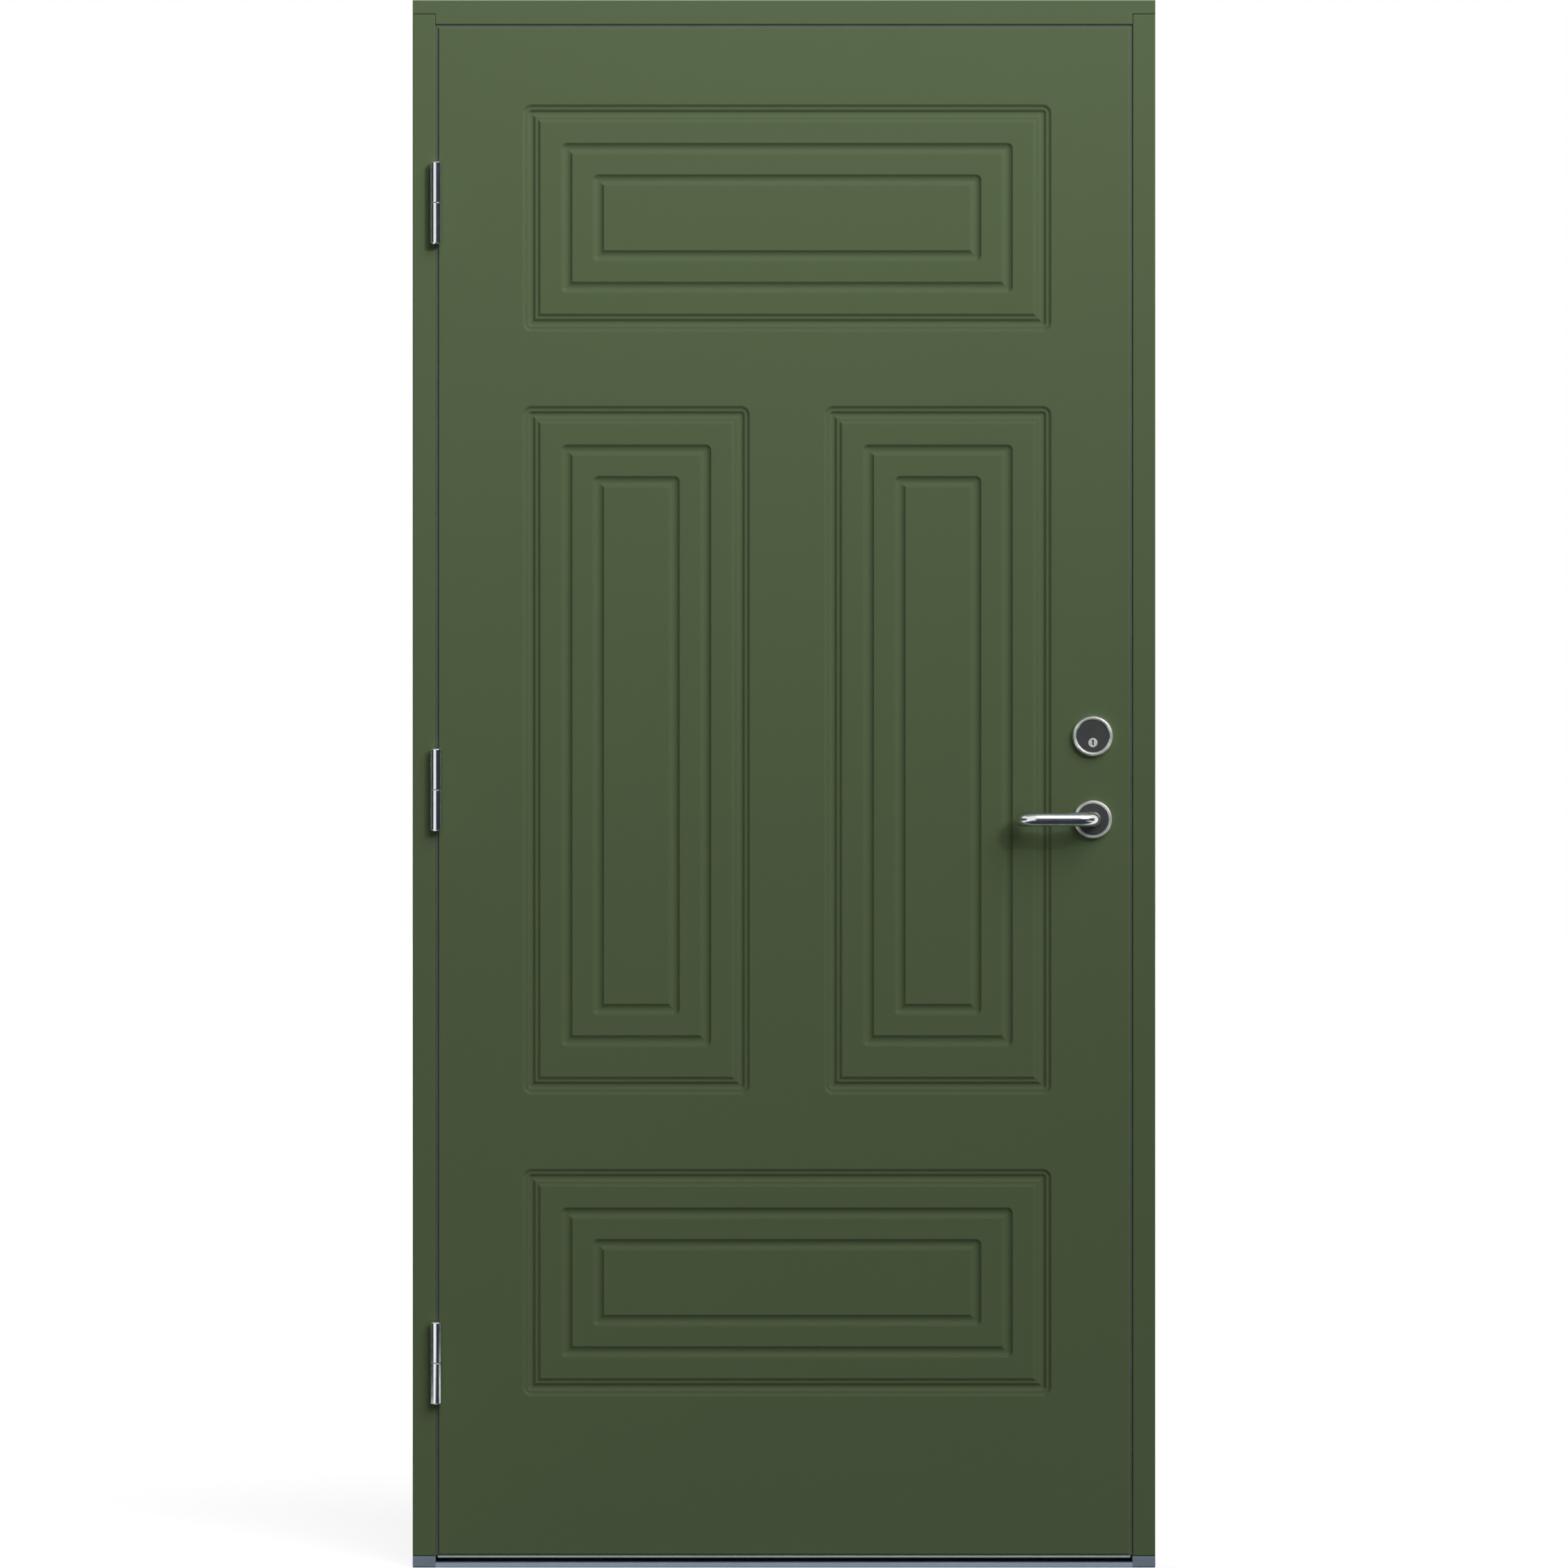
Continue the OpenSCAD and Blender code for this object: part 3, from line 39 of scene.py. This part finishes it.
# The object, in metres
FRAME_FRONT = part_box("lock_jamb")[0].y
FRAME_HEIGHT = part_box("frame_head")[1].z
FRAME_MIDDLE = FRAME_HEIGHT / 2
LEAF_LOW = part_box("hinge_stile")[0]
LEAF_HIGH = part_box("lock_stile")[1]
LEVER_LOW, LEVER_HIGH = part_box("outer_lever")
FLOOR_Z = CAD_BOX[0].z

# Finishes, as linear colours
GREEN = (0.0758, 0.1066, 0.0518)
PINE = (0.48, 0.29, 0.13)
LATE_WOOD = (0.33, 0.17, 0.065)
FOAM = (0.80, 0.76, 0.64)
SILL_GREY = (0.24, 0.285, 0.36)
BRIGHT_ALUMINIUM = (0.35, 0.40, 0.41)
FOOT_GREY = (0.122, 0.157, 0.203)
MOULDED_BLACK = (0.024, 0.025, 0.027)
RUBBER = (0.013, 0.019, 0.027)
SLATE = (0.062, 0.078, 0.072)
CHROME = (0.80, 0.82, 0.83)
SATIN_CHROME = (0.84, 0.85, 0.83)
BRIGHT_CHROME = (0.92, 0.93, 0.90)
NICKEL = (0.74, 0.75, 0.74)
ROSE_GREY = (0.058, 0.060, 0.061)
ZINC = (0.56, 0.58, 0.60)
SCREEN_CLOTH = (0.030, 0.037, 0.046)
CANOPY_CLOTH = (0.24, 0.25, 0.26)
WHITE = (1, 1, 1)
BLACK = (0, 0, 0)

# Roughness of plated metals, and the level of the paint's sheen
POLISHED = 0.06
BUFFED = 0.16
SATIN = 0.28
DULL = 0.36
PAINT_SHEEN = 0.05

# Stretch of patterns, which are drawn out along an axis whose value is small
EVEN = (1, 1, 1)
UPRIGHT_GRAIN = (1, 1, 0.02)
LEVEL_GRAIN = (0.02, 1, 1)
HAIRLINES = (1, 1, 0.05)
DIE_LINES = (0.004, 1, 1)
YEAR_RINGS = (1, 1, 0.04)
WOOD_FIBRE = (1, 1, 0.03)

# Scales of patterns, in the measure of their own nodes
TURNING_SCALE = 500
YEAR_RING_SCALE = 55
BEAD_SCALE = 300
CRYSTAL_SCALE = 260

# Arrises: the cosine between the plain and the rounded normal at which their mask starts and is full
ARRIS_STARTS = 0.985
ARRIS_FULL = 0.80
ARRIS_SAMPLES = 6

# Depth to which the leaf's edges are painted, in metres
PAINT_SKIN = 0.0006

# The mix node's colour sockets, by place, because their names repeat
MIX_FACTOR = 0
MIX_FIRST = 6
MIX_SECOND = 7
MIX_RESULT = 2

# Pieces that are plated alike
BUFFED_PIECES = ("outer_lever", "inner_lever", "thumb_turn")
SATIN_PIECES = ("outer_rose", "inner_rose", "thumb_turn_rose")

# The camera, in metres, and its sensor, in millimetres
CAMERA_DISTANCE = 10
CAMERA_REACH = 200
SENSOR = 36

# Lamps: directions that they shine from, places in metres and strengths
KEY_FROM = (0.66, -1, 0.96)
KEY_STRENGTH = 2.52
BACK_FROM = (-0.64, 1, 0.64)
BACK_STRENGTH = 2.4
SUN_ANGLE = math.radians(48)
WASH_FROM = (0.64, -1, 0.64)
WASH_DISTANCE = 16
WASH_AIM = (0.7, 0, 4.5)
WASH_EDGE_Z = 0.45
WASH_POWER = 11400
WASH_SIZE = 0.8
AMBIENT = 0.06

# The floor, and the cloths that are only mirrored: metres, and bearings in degrees from the front
FLOOR_SIZE = 80
FLOOR_SHADE = 0.4
FLOOR_TOP_UP = 0.74
SCREENS = {"right_screen": (-5, 89), "left_screen": (-114, -55), "back_screen": (150, 210)}
SCREEN_RADIUS = 12
SCREEN_HEIGHT = 4.2
SCREEN_LIFT = 0.002
SCREEN_NEAR = 3
SCREEN_SIDES = 360
STRIP_WIDTH = 3.0
STRIP_FROM = -3.4
STRIP_TO = -0.12
CANOPY_WIDTH = 6
CANOPY_FROM = -2
CANOPY_TO = 1
CANOPY_Z = 4


class Wire:
    """An output socket of a shader tree, so that shader maths reads as Python expressions."""

    def __init__(self, tree, socket=None):
        self.tree = tree
        self.socket = socket

    def add(self, kind, settings, values, output=0):
        """A new node: its settings come first, then the values or links of its sockets."""
        node = self.tree.nodes.new("ShaderNode" + kind)
        for name, value in settings.items():
            setattr(node, name, value)
        for name, value in values.items():
            if isinstance(value, Wire):
                self.tree.links.new(value.socket, node.inputs[name])
            else:
                node.inputs[name].default_value = value
        return Wire(self.tree, node.outputs[output])

    def maths(self, operation, first, second):
        """A sum, a product or the like of two values."""
        return self.add("Math", {"operation": operation}, {0: first, 1: second})

    def __add__(self, other):
        return self.maths("ADD", self, other)

    def __radd__(self, other):
        return self.maths("ADD", other, self)

    def __sub__(self, other):
        return self.maths("SUBTRACT", self, other)

    def __rsub__(self, other):
        return self.maths("SUBTRACT", other, self)

    def __mul__(self, other):
        return self.maths("MULTIPLY", self, other)

    def __rmul__(self, other):
        return self.maths("MULTIPLY", other, self)


def coordinates(wire, stretch=EVEN, centre=(0, 0, 0)):
    """Object coordinates from a centre, stretched for a pattern."""
    place = wire.add("TexCoord", {}, {}, "Object")
    shift = tuple(-c * s for c, s in zip(centre, stretch))
    return wire.add("Mapping", {}, {"Vector": place, "Location": shift, "Scale": stretch})


def noise(wire, size, detail=2, stretch=EVEN):
    """Noise from 0 to 1 with features of about this size in metres."""
    values = {"Vector": coordinates(wire, stretch), "Scale": 1 / size, "Detail": detail}
    return wire.add("TexNoise", {}, values)


def between(wire, value, low, high):
    """How far the value is from low to high: 0 at low and before it, 1 at high and past it."""
    return wire.add("MapRange", {"clamp": True}, {"Value": value, "From Min": low, "From Max": high})


def mixed(wire, factor, first, second):
    """A colour between two others."""
    pair = [c if isinstance(c, Wire) else (*c, 1) for c in (first, second)]
    values = {MIX_FACTOR: factor, MIX_FIRST: pair[0], MIX_SECOND: pair[1]}
    return wire.add("Mix", {"data_type": "RGBA"}, values, MIX_RESULT)


def shaded(colour, share):
    """A colour made lighter or darker by a share."""
    return tuple(c * share for c in colour)


def rounded(wire, radius):
    """A normal that rounds a piece's arrises."""
    return wire.add("Bevel", {"samples": ARRIS_SAMPLES}, {"Radius": radius})


def arris_mask(wire, soft):
    """1 along the arrises that a rounded normal softens, and 0 on the faces."""
    plain = wire.add("NewGeometry", {}, {}, "Normal")
    agreement = wire.add("VectorMath", {"operation": "DOT_PRODUCT"}, {0: soft, 1: plain}, "Value")
    return between(wire, agreement, ARRIS_STARTS, ARRIS_FULL)


def bump(wire, relief, depth, normal=None):
    """A normal with a relief of this depth in metres, laid over another normal if there is one."""
    values = {"Height": relief, "Distance": depth, "Strength": 1}
    if normal is not None:
        values["Normal"] = normal
    return wire.add("Bump", {}, values)


def new_finish(name):
    """An empty material: its wire, to build on, and its surface."""
    material = bpy.data.materials.new(name)
    material.use_nodes = True
    surface = material.node_tree.nodes["Principled BSDF"]
    return material, Wire(material.node_tree), surface


def set_surface(wire, surface, **values):
    """Constants and links of the surface, by socket names with underscores for spaces."""
    for name, value in values.items():
        socket = surface.inputs[name.replace("_", " ")]
        if isinstance(value, Wire):
            wire.tree.links.new(value.socket, socket)
        else:
            socket.default_value = value


def clouded_green(wire):
    """The paint's colour, a little uneven over a few hand widths."""
    cloud = noise(wire, size=0.35, detail=3)
    return mixed(wire, cloud, shaded(GREEN, 0.975), shaded(GREEN, 1.025))


def green_paint(name, grain):
    """Sprayed paint: fine orange peel, a faint grain below it and a painted highlight that makes the
    arrises a little paler.
    """
    material, wire, surface = new_finish(name)
    soft = rounded(wire, radius=0.0014)
    edge = arris_mask(wire, soft)
    peel = noise(wire, size=0.0022)
    fibre = noise(wire, size=0.0012, detail=3, stretch=grain)
    # Painted highlight: the arrises are mixed halfway towards a paler green
    colour = mixed(wire, edge * 0.5, clouded_green(wire), shaded(GREEN, 1.25))
    rough = 0.42 + 0.10 * noise(wire, size=0.05, detail=4)
    normal = bump(wire, 0.6 * peel + 0.4 * fibre, depth=0.00006, normal=soft)
    set_surface(wire, surface, Base_Color=colour, Roughness=rough, Normal=normal)
    set_surface(wire, surface, Specular_IOR_Level=PAINT_SHEEN)
    return material


def plated_metal(name, metal, gloss):
    """Plated metal: wiping marks and fine hairlines in its gloss, and edges a little duller."""
    material, wire, surface = new_finish(name)
    soft = rounded(wire, radius=0.0006)
    edge = arris_mask(wire, soft)
    wipe = noise(wire, size=0.012, detail=4)
    hairline = between(wire, noise(wire, size=0.0009, stretch=HAIRLINES), low=0.60, high=0.75)
    colour = mixed(wire, wipe, shaded(metal, 0.96), metal)
    rough = gloss + 0.07 * wipe + 0.06 * hairline + 0.05 * edge
    normal = bump(wire, noise(wire, size=0.02, detail=1), depth=0.00002, normal=soft)
    set_surface(wire, surface, Base_Color=colour, Roughness=rough, Normal=normal, Metallic=1.0)
    return material


def turned_dark_metal(name, node):
    """Satin dark plate, turned on a lathe about its own axis."""
    material, wire, surface = new_finish(name)
    low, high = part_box(node)
    soft = rounded(wire, radius=0.0004)
    edge = arris_mask(wire, soft)
    place = coordinates(wire, centre=(low + high) / 2)
    rings = wire.add(
        "TexWave",
        {"wave_type": "RINGS", "rings_direction": "Y"},
        {"Vector": place, "Scale": TURNING_SCALE, "Distortion": 1.5, "Detail": 2},
    )
    colour = mixed(wire, rings, shaded(ROSE_GREY, 0.85), shaded(ROSE_GREY, 1.15))
    # Painted highlight: the rims are mixed towards a grey more than twice as light as the plate
    colour = mixed(wire, edge * 0.6, colour, shaded(ROSE_GREY, 2.2))
    rough = 0.30 + 0.12 * noise(wire, size=0.01, detail=3) + 0.06 * rings
    normal = bump(wire, rings, depth=0.00001, normal=soft)
    set_surface(wire, surface, Base_Color=colour, Roughness=rough, Normal=normal, Metallic=0.7)
    return material


def anodised_aluminium(name, metal):
    """Extruded section: fine die lines along its length under a satin anodic film."""
    material, wire, surface = new_finish(name)
    soft = rounded(wire, radius=0.0007)
    edge = arris_mask(wire, soft)
    line = noise(wire, size=0.0007, detail=3, stretch=DIE_LINES)
    cloud = noise(wire, size=0.08, detail=3)
    colour = mixed(wire, line, shaded(metal, 0.88), shaded(metal, 1.06))
    # Painted highlight: the arrises are mixed halfway towards a lighter aluminium
    colour = mixed(wire, edge * 0.5, colour, shaded(metal, 1.2))
    rough = 0.28 + 0.12 * line + 0.08 * cloud
    normal = bump(wire, line, depth=0.00003, normal=soft)
    set_surface(wire, surface, Base_Color=colour, Roughness=rough, Normal=normal, Metallic=0.9)
    return material


def moulded_plastic(name, plastic):
    """Matt moulded plastic: spark-eroded texture and a painted highlight that makes the edges paler."""
    material, wire, surface = new_finish(name)
    soft = rounded(wire, radius=0.0008)
    edge = arris_mask(wire, soft)
    speck = noise(wire, size=0.0008)
    cloud = noise(wire, size=0.04, detail=3)
    colour = mixed(wire, cloud, shaded(plastic, 0.92), shaded(plastic, 1.08))
    # Painted highlight: the edges are mixed halfway towards a much lighter plastic
    colour = mixed(wire, edge * 0.5, colour, shaded(plastic, 1.6))
    rough = 0.46 + 0.14 * speck
    normal = bump(wire, speck, depth=0.00005, normal=soft)
    set_surface(wire, surface, Base_Color=colour, Roughness=rough, Normal=normal)
    return material


def seal_rubber(name, rubber):
    """Extruded seal: soft and matt, with a dusty bloom and a fine skin."""
    material, wire, surface = new_finish(name)
    soft = rounded(wire, radius=0.0005)
    bloom = between(wire, noise(wire, size=0.03, detail=5), low=0.45, high=0.75)
    speck = noise(wire, size=0.0006)
    colour = mixed(wire, bloom, shaded(rubber, 0.9), shaded(rubber, 1.3))
    rough = 0.62 + 0.15 * bloom + 0.08 * speck
    normal = bump(wire, speck, depth=0.00004, normal=soft)
    set_surface(wire, surface, Base_Color=colour, Roughness=rough, Normal=normal)
    return material


def edge_painted_pine():
    """Planed softwood of the leaf's inner frame, painted green where it shows at the leaf's edges."""
    material, wire, surface = new_finish("edge_painted_pine")
    soft = rounded(wire, radius=0.0008)
    place = wire.add("TexCoord", {}, {}, "Object")
    across = wire.add("SeparateXYZ", {}, {"Vector": place}, "X")
    height = wire.add("SeparateXYZ", {}, {"Vector": place}, "Z")
    left = between(wire, across, LEAF_LOW.x + 2 * PAINT_SKIN, LEAF_LOW.x + PAINT_SKIN)
    right = between(wire, across, LEAF_HIGH.x - 2 * PAINT_SKIN, LEAF_HIGH.x - PAINT_SKIN)
    foot = between(wire, height, LEAF_LOW.z + 2 * PAINT_SKIN, LEAF_LOW.z + PAINT_SKIN)
    top = between(wire, height, LEAF_HIGH.z - 2 * PAINT_SKIN, LEAF_HIGH.z - PAINT_SKIN)
    painted = wire.maths("MINIMUM", left + right + foot + top, 1.0)
    rings = wire.add(
        "TexWave",
        {"bands_direction": "X"},
        {"Vector": coordinates(wire, YEAR_RINGS), "Scale": YEAR_RING_SCALE, "Distortion": 6, "Detail": 3},
    )
    fibre = noise(wire, size=0.0009, detail=3, stretch=WOOD_FIBRE)
    wood = mixed(wire, rings * 0.6 + fibre * 0.4, PINE, LATE_WOOD)
    colour = mixed(wire, painted, wood, clouded_green(wire))
    rough = 0.60 - 0.16 * painted + 0.08 * fibre
    normal = bump(wire, fibre, depth=0.00005, normal=soft)
    set_surface(wire, surface, Base_Color=colour, Roughness=rough, Normal=normal)
    set_surface(wire, surface, Specular_IOR_Level=PAINT_SHEEN)
    return material


def rigid_foam():
    """Insulation board: pressed beads with darker seams between them."""
    material, wire, surface = new_finish("rigid_foam")
    values = {"Vector": coordinates(wire), "Scale": BEAD_SCALE}
    bead = wire.add("TexVoronoi", {}, values, "Distance")
    colour = mixed(wire, between(wire, bead, low=0.3, high=0.8), FOAM, shaded(FOAM, 0.75))
    rough = 0.8 + 0.15 * bead
    normal = bump(wire, 1 - bead, depth=0.0006)
    set_surface(wire, surface, Base_Color=colour, Roughness=rough, Normal=normal)
    return material


def zinc_plated_steel():
    """Plated steel of the lock, the plates and the screws: faint crystals and a painted highlight that
    makes the arrises paler.
    """
    material, wire, surface = new_finish("zinc_plated_steel")
    soft = rounded(wire, radius=0.0004)
    edge = arris_mask(wire, soft)
    values = {"Vector": coordinates(wire), "Scale": CRYSTAL_SCALE}
    cell = wire.add("TexVoronoi", {}, values, "Color")
    crystal = wire.add("SeparateColor", {}, {"Color": cell}, "Red")
    line = noise(wire, size=0.0006, detail=3, stretch=UPRIGHT_GRAIN)
    colour = mixed(wire, crystal * 0.5 + line * 0.5, shaded(ZINC, 0.86), shaded(ZINC, 1.05))
    # Painted highlight: the arrises are mixed halfway towards a paler zinc
    colour = mixed(wire, edge * 0.5, colour, shaded(ZINC, 1.2))
    rough = 0.24 + 0.12 * line + 0.08 * crystal
    normal = bump(wire, line, depth=0.00002, normal=soft)
    set_surface(wire, surface, Base_Color=colour, Roughness=rough, Normal=normal, Metallic=1.0)
    return material


def dress_the_door():
    """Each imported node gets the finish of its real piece."""
    steel = zinc_plated_steel()
    polished = plated_metal("polished_chrome", CHROME, POLISHED)
    buffed = plated_metal("buffed_chrome", CHROME, BUFFED)
    satin = plated_metal("satin_chrome", SATIN_CHROME, SATIN)
    rubber = seal_rubber("seal_rubber", RUBBER)
    pine = edge_painted_pine()
    black = moulded_plastic("black_moulded_plastic", MOULDED_BLACK)
    grey = moulded_plastic("grey_moulded_plastic", FOOT_GREY)
    upright_paint = green_paint("green_paint_upright", UPRIGHT_GRAIN)
    finishes = {
        "hinge_jamb": upright_paint,
        "lock_jamb": upright_paint,
        "frame_head": green_paint("green_paint_level", LEVEL_GRAIN),
        "outer_facing": upright_paint,
        "inner_facing": upright_paint,
        "sill": anodised_aluminium("sill_aluminium", SILL_GREY),
        "drip_rail": anodised_aluminium("drip_rail_aluminium", BRIGHT_ALUMINIUM),
        "hinge_side_foot": grey,
        "lock_side_foot": grey,
        "edge_seal": seal_rubber("slate_seal_rubber", SLATE),
        "strike_boxes": black,
        "hinge_bearing_rings": black,
        "insulation_core": rigid_foam(),
        "cylinder_ring": plated_metal("bright_satin_chrome", BRIGHT_CHROME, SATIN),
        "cylinder_plug": plated_metal("satin_nickel", NICKEL, DULL),
        "outer_rose_plate": turned_dark_metal("turned_outer_plate", "outer_rose_plate"),
        "inner_rose_plate": turned_dark_metal("turned_inner_plate", "inner_rose_plate"),
        "cylinder_body": turned_dark_metal("turned_cylinder_face", "cylinder_body"),
    }
    for name, node in NODES.items():
        if name in finishes:
            finish = finishes[name]
        elif name in SATIN_PIECES:
            finish = satin
        elif name in BUFFED_PIECES:
            finish = buffed
        elif name.endswith("_half"):
            finish = polished
        elif name.endswith("_seal"):
            finish = rubber
        elif name.endswith(("_stile", "_rail")):
            finish = pine
        else:
            finish = steel
        node.data.materials.clear()
        node.data.materials.append(finish)


def white_for_the_eye(wire):
    """1 for rays from the camera and for those that a surface mirrors or lets through."""
    camera = wire.add("LightPath", {}, {}, "Is Camera Ray")
    glossy = wire.add("LightPath", {}, {}, "Is Glossy Ray")
    through = wire.add("LightPath", {}, {}, "Is Transmission Ray")
    return wire.maths("MINIMUM", camera + glossy + through, 1.0)


def studio_world():
    """A white backdrop for the eye, which lights the object only softly."""
    world = bpy.data.worlds.new("studio")
    world.use_nodes = True
    bpy.context.scene.world = world
    background = world.node_tree.nodes["Background"]
    wire = Wire(world.node_tree)
    strength = AMBIENT + (1 - AMBIENT) * white_for_the_eye(wire)
    background.inputs["Color"].default_value = (*WHITE, 1)
    world.node_tree.links.new(strength.socket, background.inputs["Strength"])


def pale_floor():
    """A pale floor that is white to the eye and keeps the door's shadow."""
    bpy.ops.object.select_all(action="DESELECT")
    bpy.ops.mesh.primitive_plane_add(size=FLOOR_SIZE, location=(0, 0, FLOOR_Z))
    floor = bpy.context.active_object
    floor.name = "floor"
    material, wire, surface = new_finish("pale_floor")
    shade = (*shaded(WHITE, FLOOR_SHADE), 1)
    glow = mixed(wire, white_for_the_eye(wire), BLACK, shaded(WHITE, FLOOR_TOP_UP))
    set_surface(wire, surface, Base_Color=shade, Roughness=0.9, Specular_IOR_Level=0.0)
    set_surface(wire, surface, Emission_Color=glow, Emission_Strength=1.0)
    floor.data.materials.append(material)


def studio_cloth(name, colour):
    """Cloth that looks the same however it is lit."""
    material = bpy.data.materials.new(name)
    material.use_nodes = True
    tree = material.node_tree
    tree.nodes.remove(tree.nodes["Principled BSDF"])
    glow = Wire(tree).add("Emission", {}, {"Color": (*colour, 1), "Strength": 1})
    tree.links.new(glow.socket, tree.nodes["Material Output"].inputs["Surface"])
    return material


def only_mirrored(sheet):
    """Leaves a cloth to mirrors: it isn't seen itself, and it neither lights nor shades anything."""
    sheet.visible_camera = False
    sheet.visible_diffuse = False
    sheet.visible_shadow = False
    sheet.visible_transmission = False


def select_nothing(kind):
    """Leaves the active mesh with nothing selected, ready to pick faces or edges in object mode."""
    bpy.ops.object.mode_set(mode="EDIT")
    bpy.ops.mesh.select_mode(type=kind)
    bpy.ops.mesh.select_all(action="DESELECT")
    bpy.ops.object.mode_set(mode="OBJECT")


def dark_screen(name, cloth, start, end):
    """A round screen between two bearings, with its cloth drawn in over the floor."""
    foot = FLOOR_Z + SCREEN_LIFT
    bpy.ops.object.select_all(action="DESELECT")
    bpy.ops.mesh.primitive_cylinder_add(
        vertices=SCREEN_SIDES,
        radius=SCREEN_RADIUS,
        depth=SCREEN_HEIGHT,
        end_fill_type="NOTHING",
        location=(0, 0, foot + SCREEN_HEIGHT / 2),
    )
    bpy.ops.object.transform_apply(location=True)
    screen = bpy.context.active_object
    screen.name = name
    select_nothing("FACE")
    for face in screen.data.polygons:
        bearing = math.degrees(math.atan2(face.center.x, -face.center.y))
        face.select = (bearing - start) % 360 > end - start
    bpy.ops.object.mode_set(mode="EDIT")
    bpy.ops.mesh.delete(type="FACE")
    select_nothing("EDGE")
    points = screen.data.vertices
    for edge in screen.data.edges:
        edge.select = all(points[i].co.z < foot + SCREEN_LIFT for i in edge.vertices)
    bpy.ops.object.mode_set(mode="EDIT")
    bpy.ops.mesh.extrude_edges_move()
    shrink = SCREEN_NEAR / SCREEN_RADIUS
    bpy.ops.transform.resize(value=(shrink, shrink, 1), center_override=(0, 0, foot))
    bpy.ops.object.mode_set(mode="OBJECT")
    screen.data.materials.append(cloth)
    only_mirrored(screen)


def level_cloth(name, cloth, x, width, front, back, z):
    """A level sheet of cloth."""
    bpy.ops.object.select_all(action="DESELECT")
    bpy.ops.mesh.primitive_plane_add(size=1, location=(x, (front + back) / 2, z))
    sheet = bpy.context.active_object
    sheet.name = name
    sheet.scale = (width, back - front, 1)
    bpy.ops.object.transform_apply(location=True, scale=True)
    sheet.data.materials.append(cloth)
    only_mirrored(sheet)


def hang_the_cloths():
    """Dark screens round the door, a dark strip on the floor before the lever and a grey canopy."""
    dark = studio_cloth("screen_cloth", SCREEN_CLOTH)
    grey = studio_cloth("canopy_cloth", CANOPY_CLOTH)
    for name, bearings in SCREENS.items():
        dark_screen(name, dark, *bearings)
    lever_x = (LEVER_LOW.x + LEVER_HIGH.x) / 2
    strip_z = FLOOR_Z + 2 * SCREEN_LIFT
    level_cloth("lever_strip", dark, lever_x, STRIP_WIDTH, STRIP_FROM, STRIP_TO, strip_z)
    level_cloth("canopy", grey, 0, CANOPY_WIDTH, CANOPY_FROM, CANOPY_TO, CANOPY_Z)


def shining_along(direction):
    """The turn of a lamp that shines in this direction."""
    return direction.to_track_quat("-Z", "Y").to_euler()


def sun_lamp(name, source, strength):
    """A distant softbox that shines from this direction."""
    data = bpy.data.lights.new(name, "SUN")
    data.energy = strength
    data.angle = SUN_ANGLE
    lamp = bpy.data.objects.new(name, data)
    lamp.rotation_euler = shining_along(-Vector(source))
    bpy.context.scene.collection.objects.link(lamp)


def wash_lamp():
    """A spot beside the key, aimed over the door, so that its soft edge fades down the door."""
    data = bpy.data.lights.new("wash", "SPOT")
    data.energy = WASH_POWER
    data.shadow_soft_size = WASH_SIZE
    place = Vector((0, 0, FRAME_MIDDLE)) + WASH_DISTANCE * Vector(WASH_FROM).normalized()
    axis = Vector(WASH_AIM) - place
    edge = Vector((0, 0, WASH_EDGE_Z)) - place
    data.spot_size = 2 * axis.angle(edge)
    data.spot_blend = 1
    lamp = bpy.data.objects.new("wash", data)
    lamp.location = place
    lamp.rotation_euler = shining_along(axis)
    bpy.context.scene.collection.objects.link(lamp)


def front_camera():
    """Square on to the door, with the frame's height filling the picture."""
    data = bpy.data.cameras.new("camera")
    data.sensor_width = SENSOR
    data.lens = SENSOR * CAMERA_DISTANCE / FRAME_HEIGHT
    data.clip_end = CAMERA_REACH
    camera = bpy.data.objects.new("camera", data)
    camera.location = (0, FRAME_FRONT - CAMERA_DISTANCE, FRAME_MIDDLE)
    camera.rotation_euler = (math.radians(90), 0, 0)
    bpy.context.scene.collection.objects.link(camera)
    bpy.context.scene.camera = camera


dress_the_door()
studio_world()
pale_floor()
hang_the_cloths()
sun_lamp("key", KEY_FROM, KEY_STRENGTH)
sun_lamp("back_key", BACK_FROM, BACK_STRENGTH)
wash_lamp()
front_camera()
bpy.context.scene.view_settings.view_transform = "Standard"
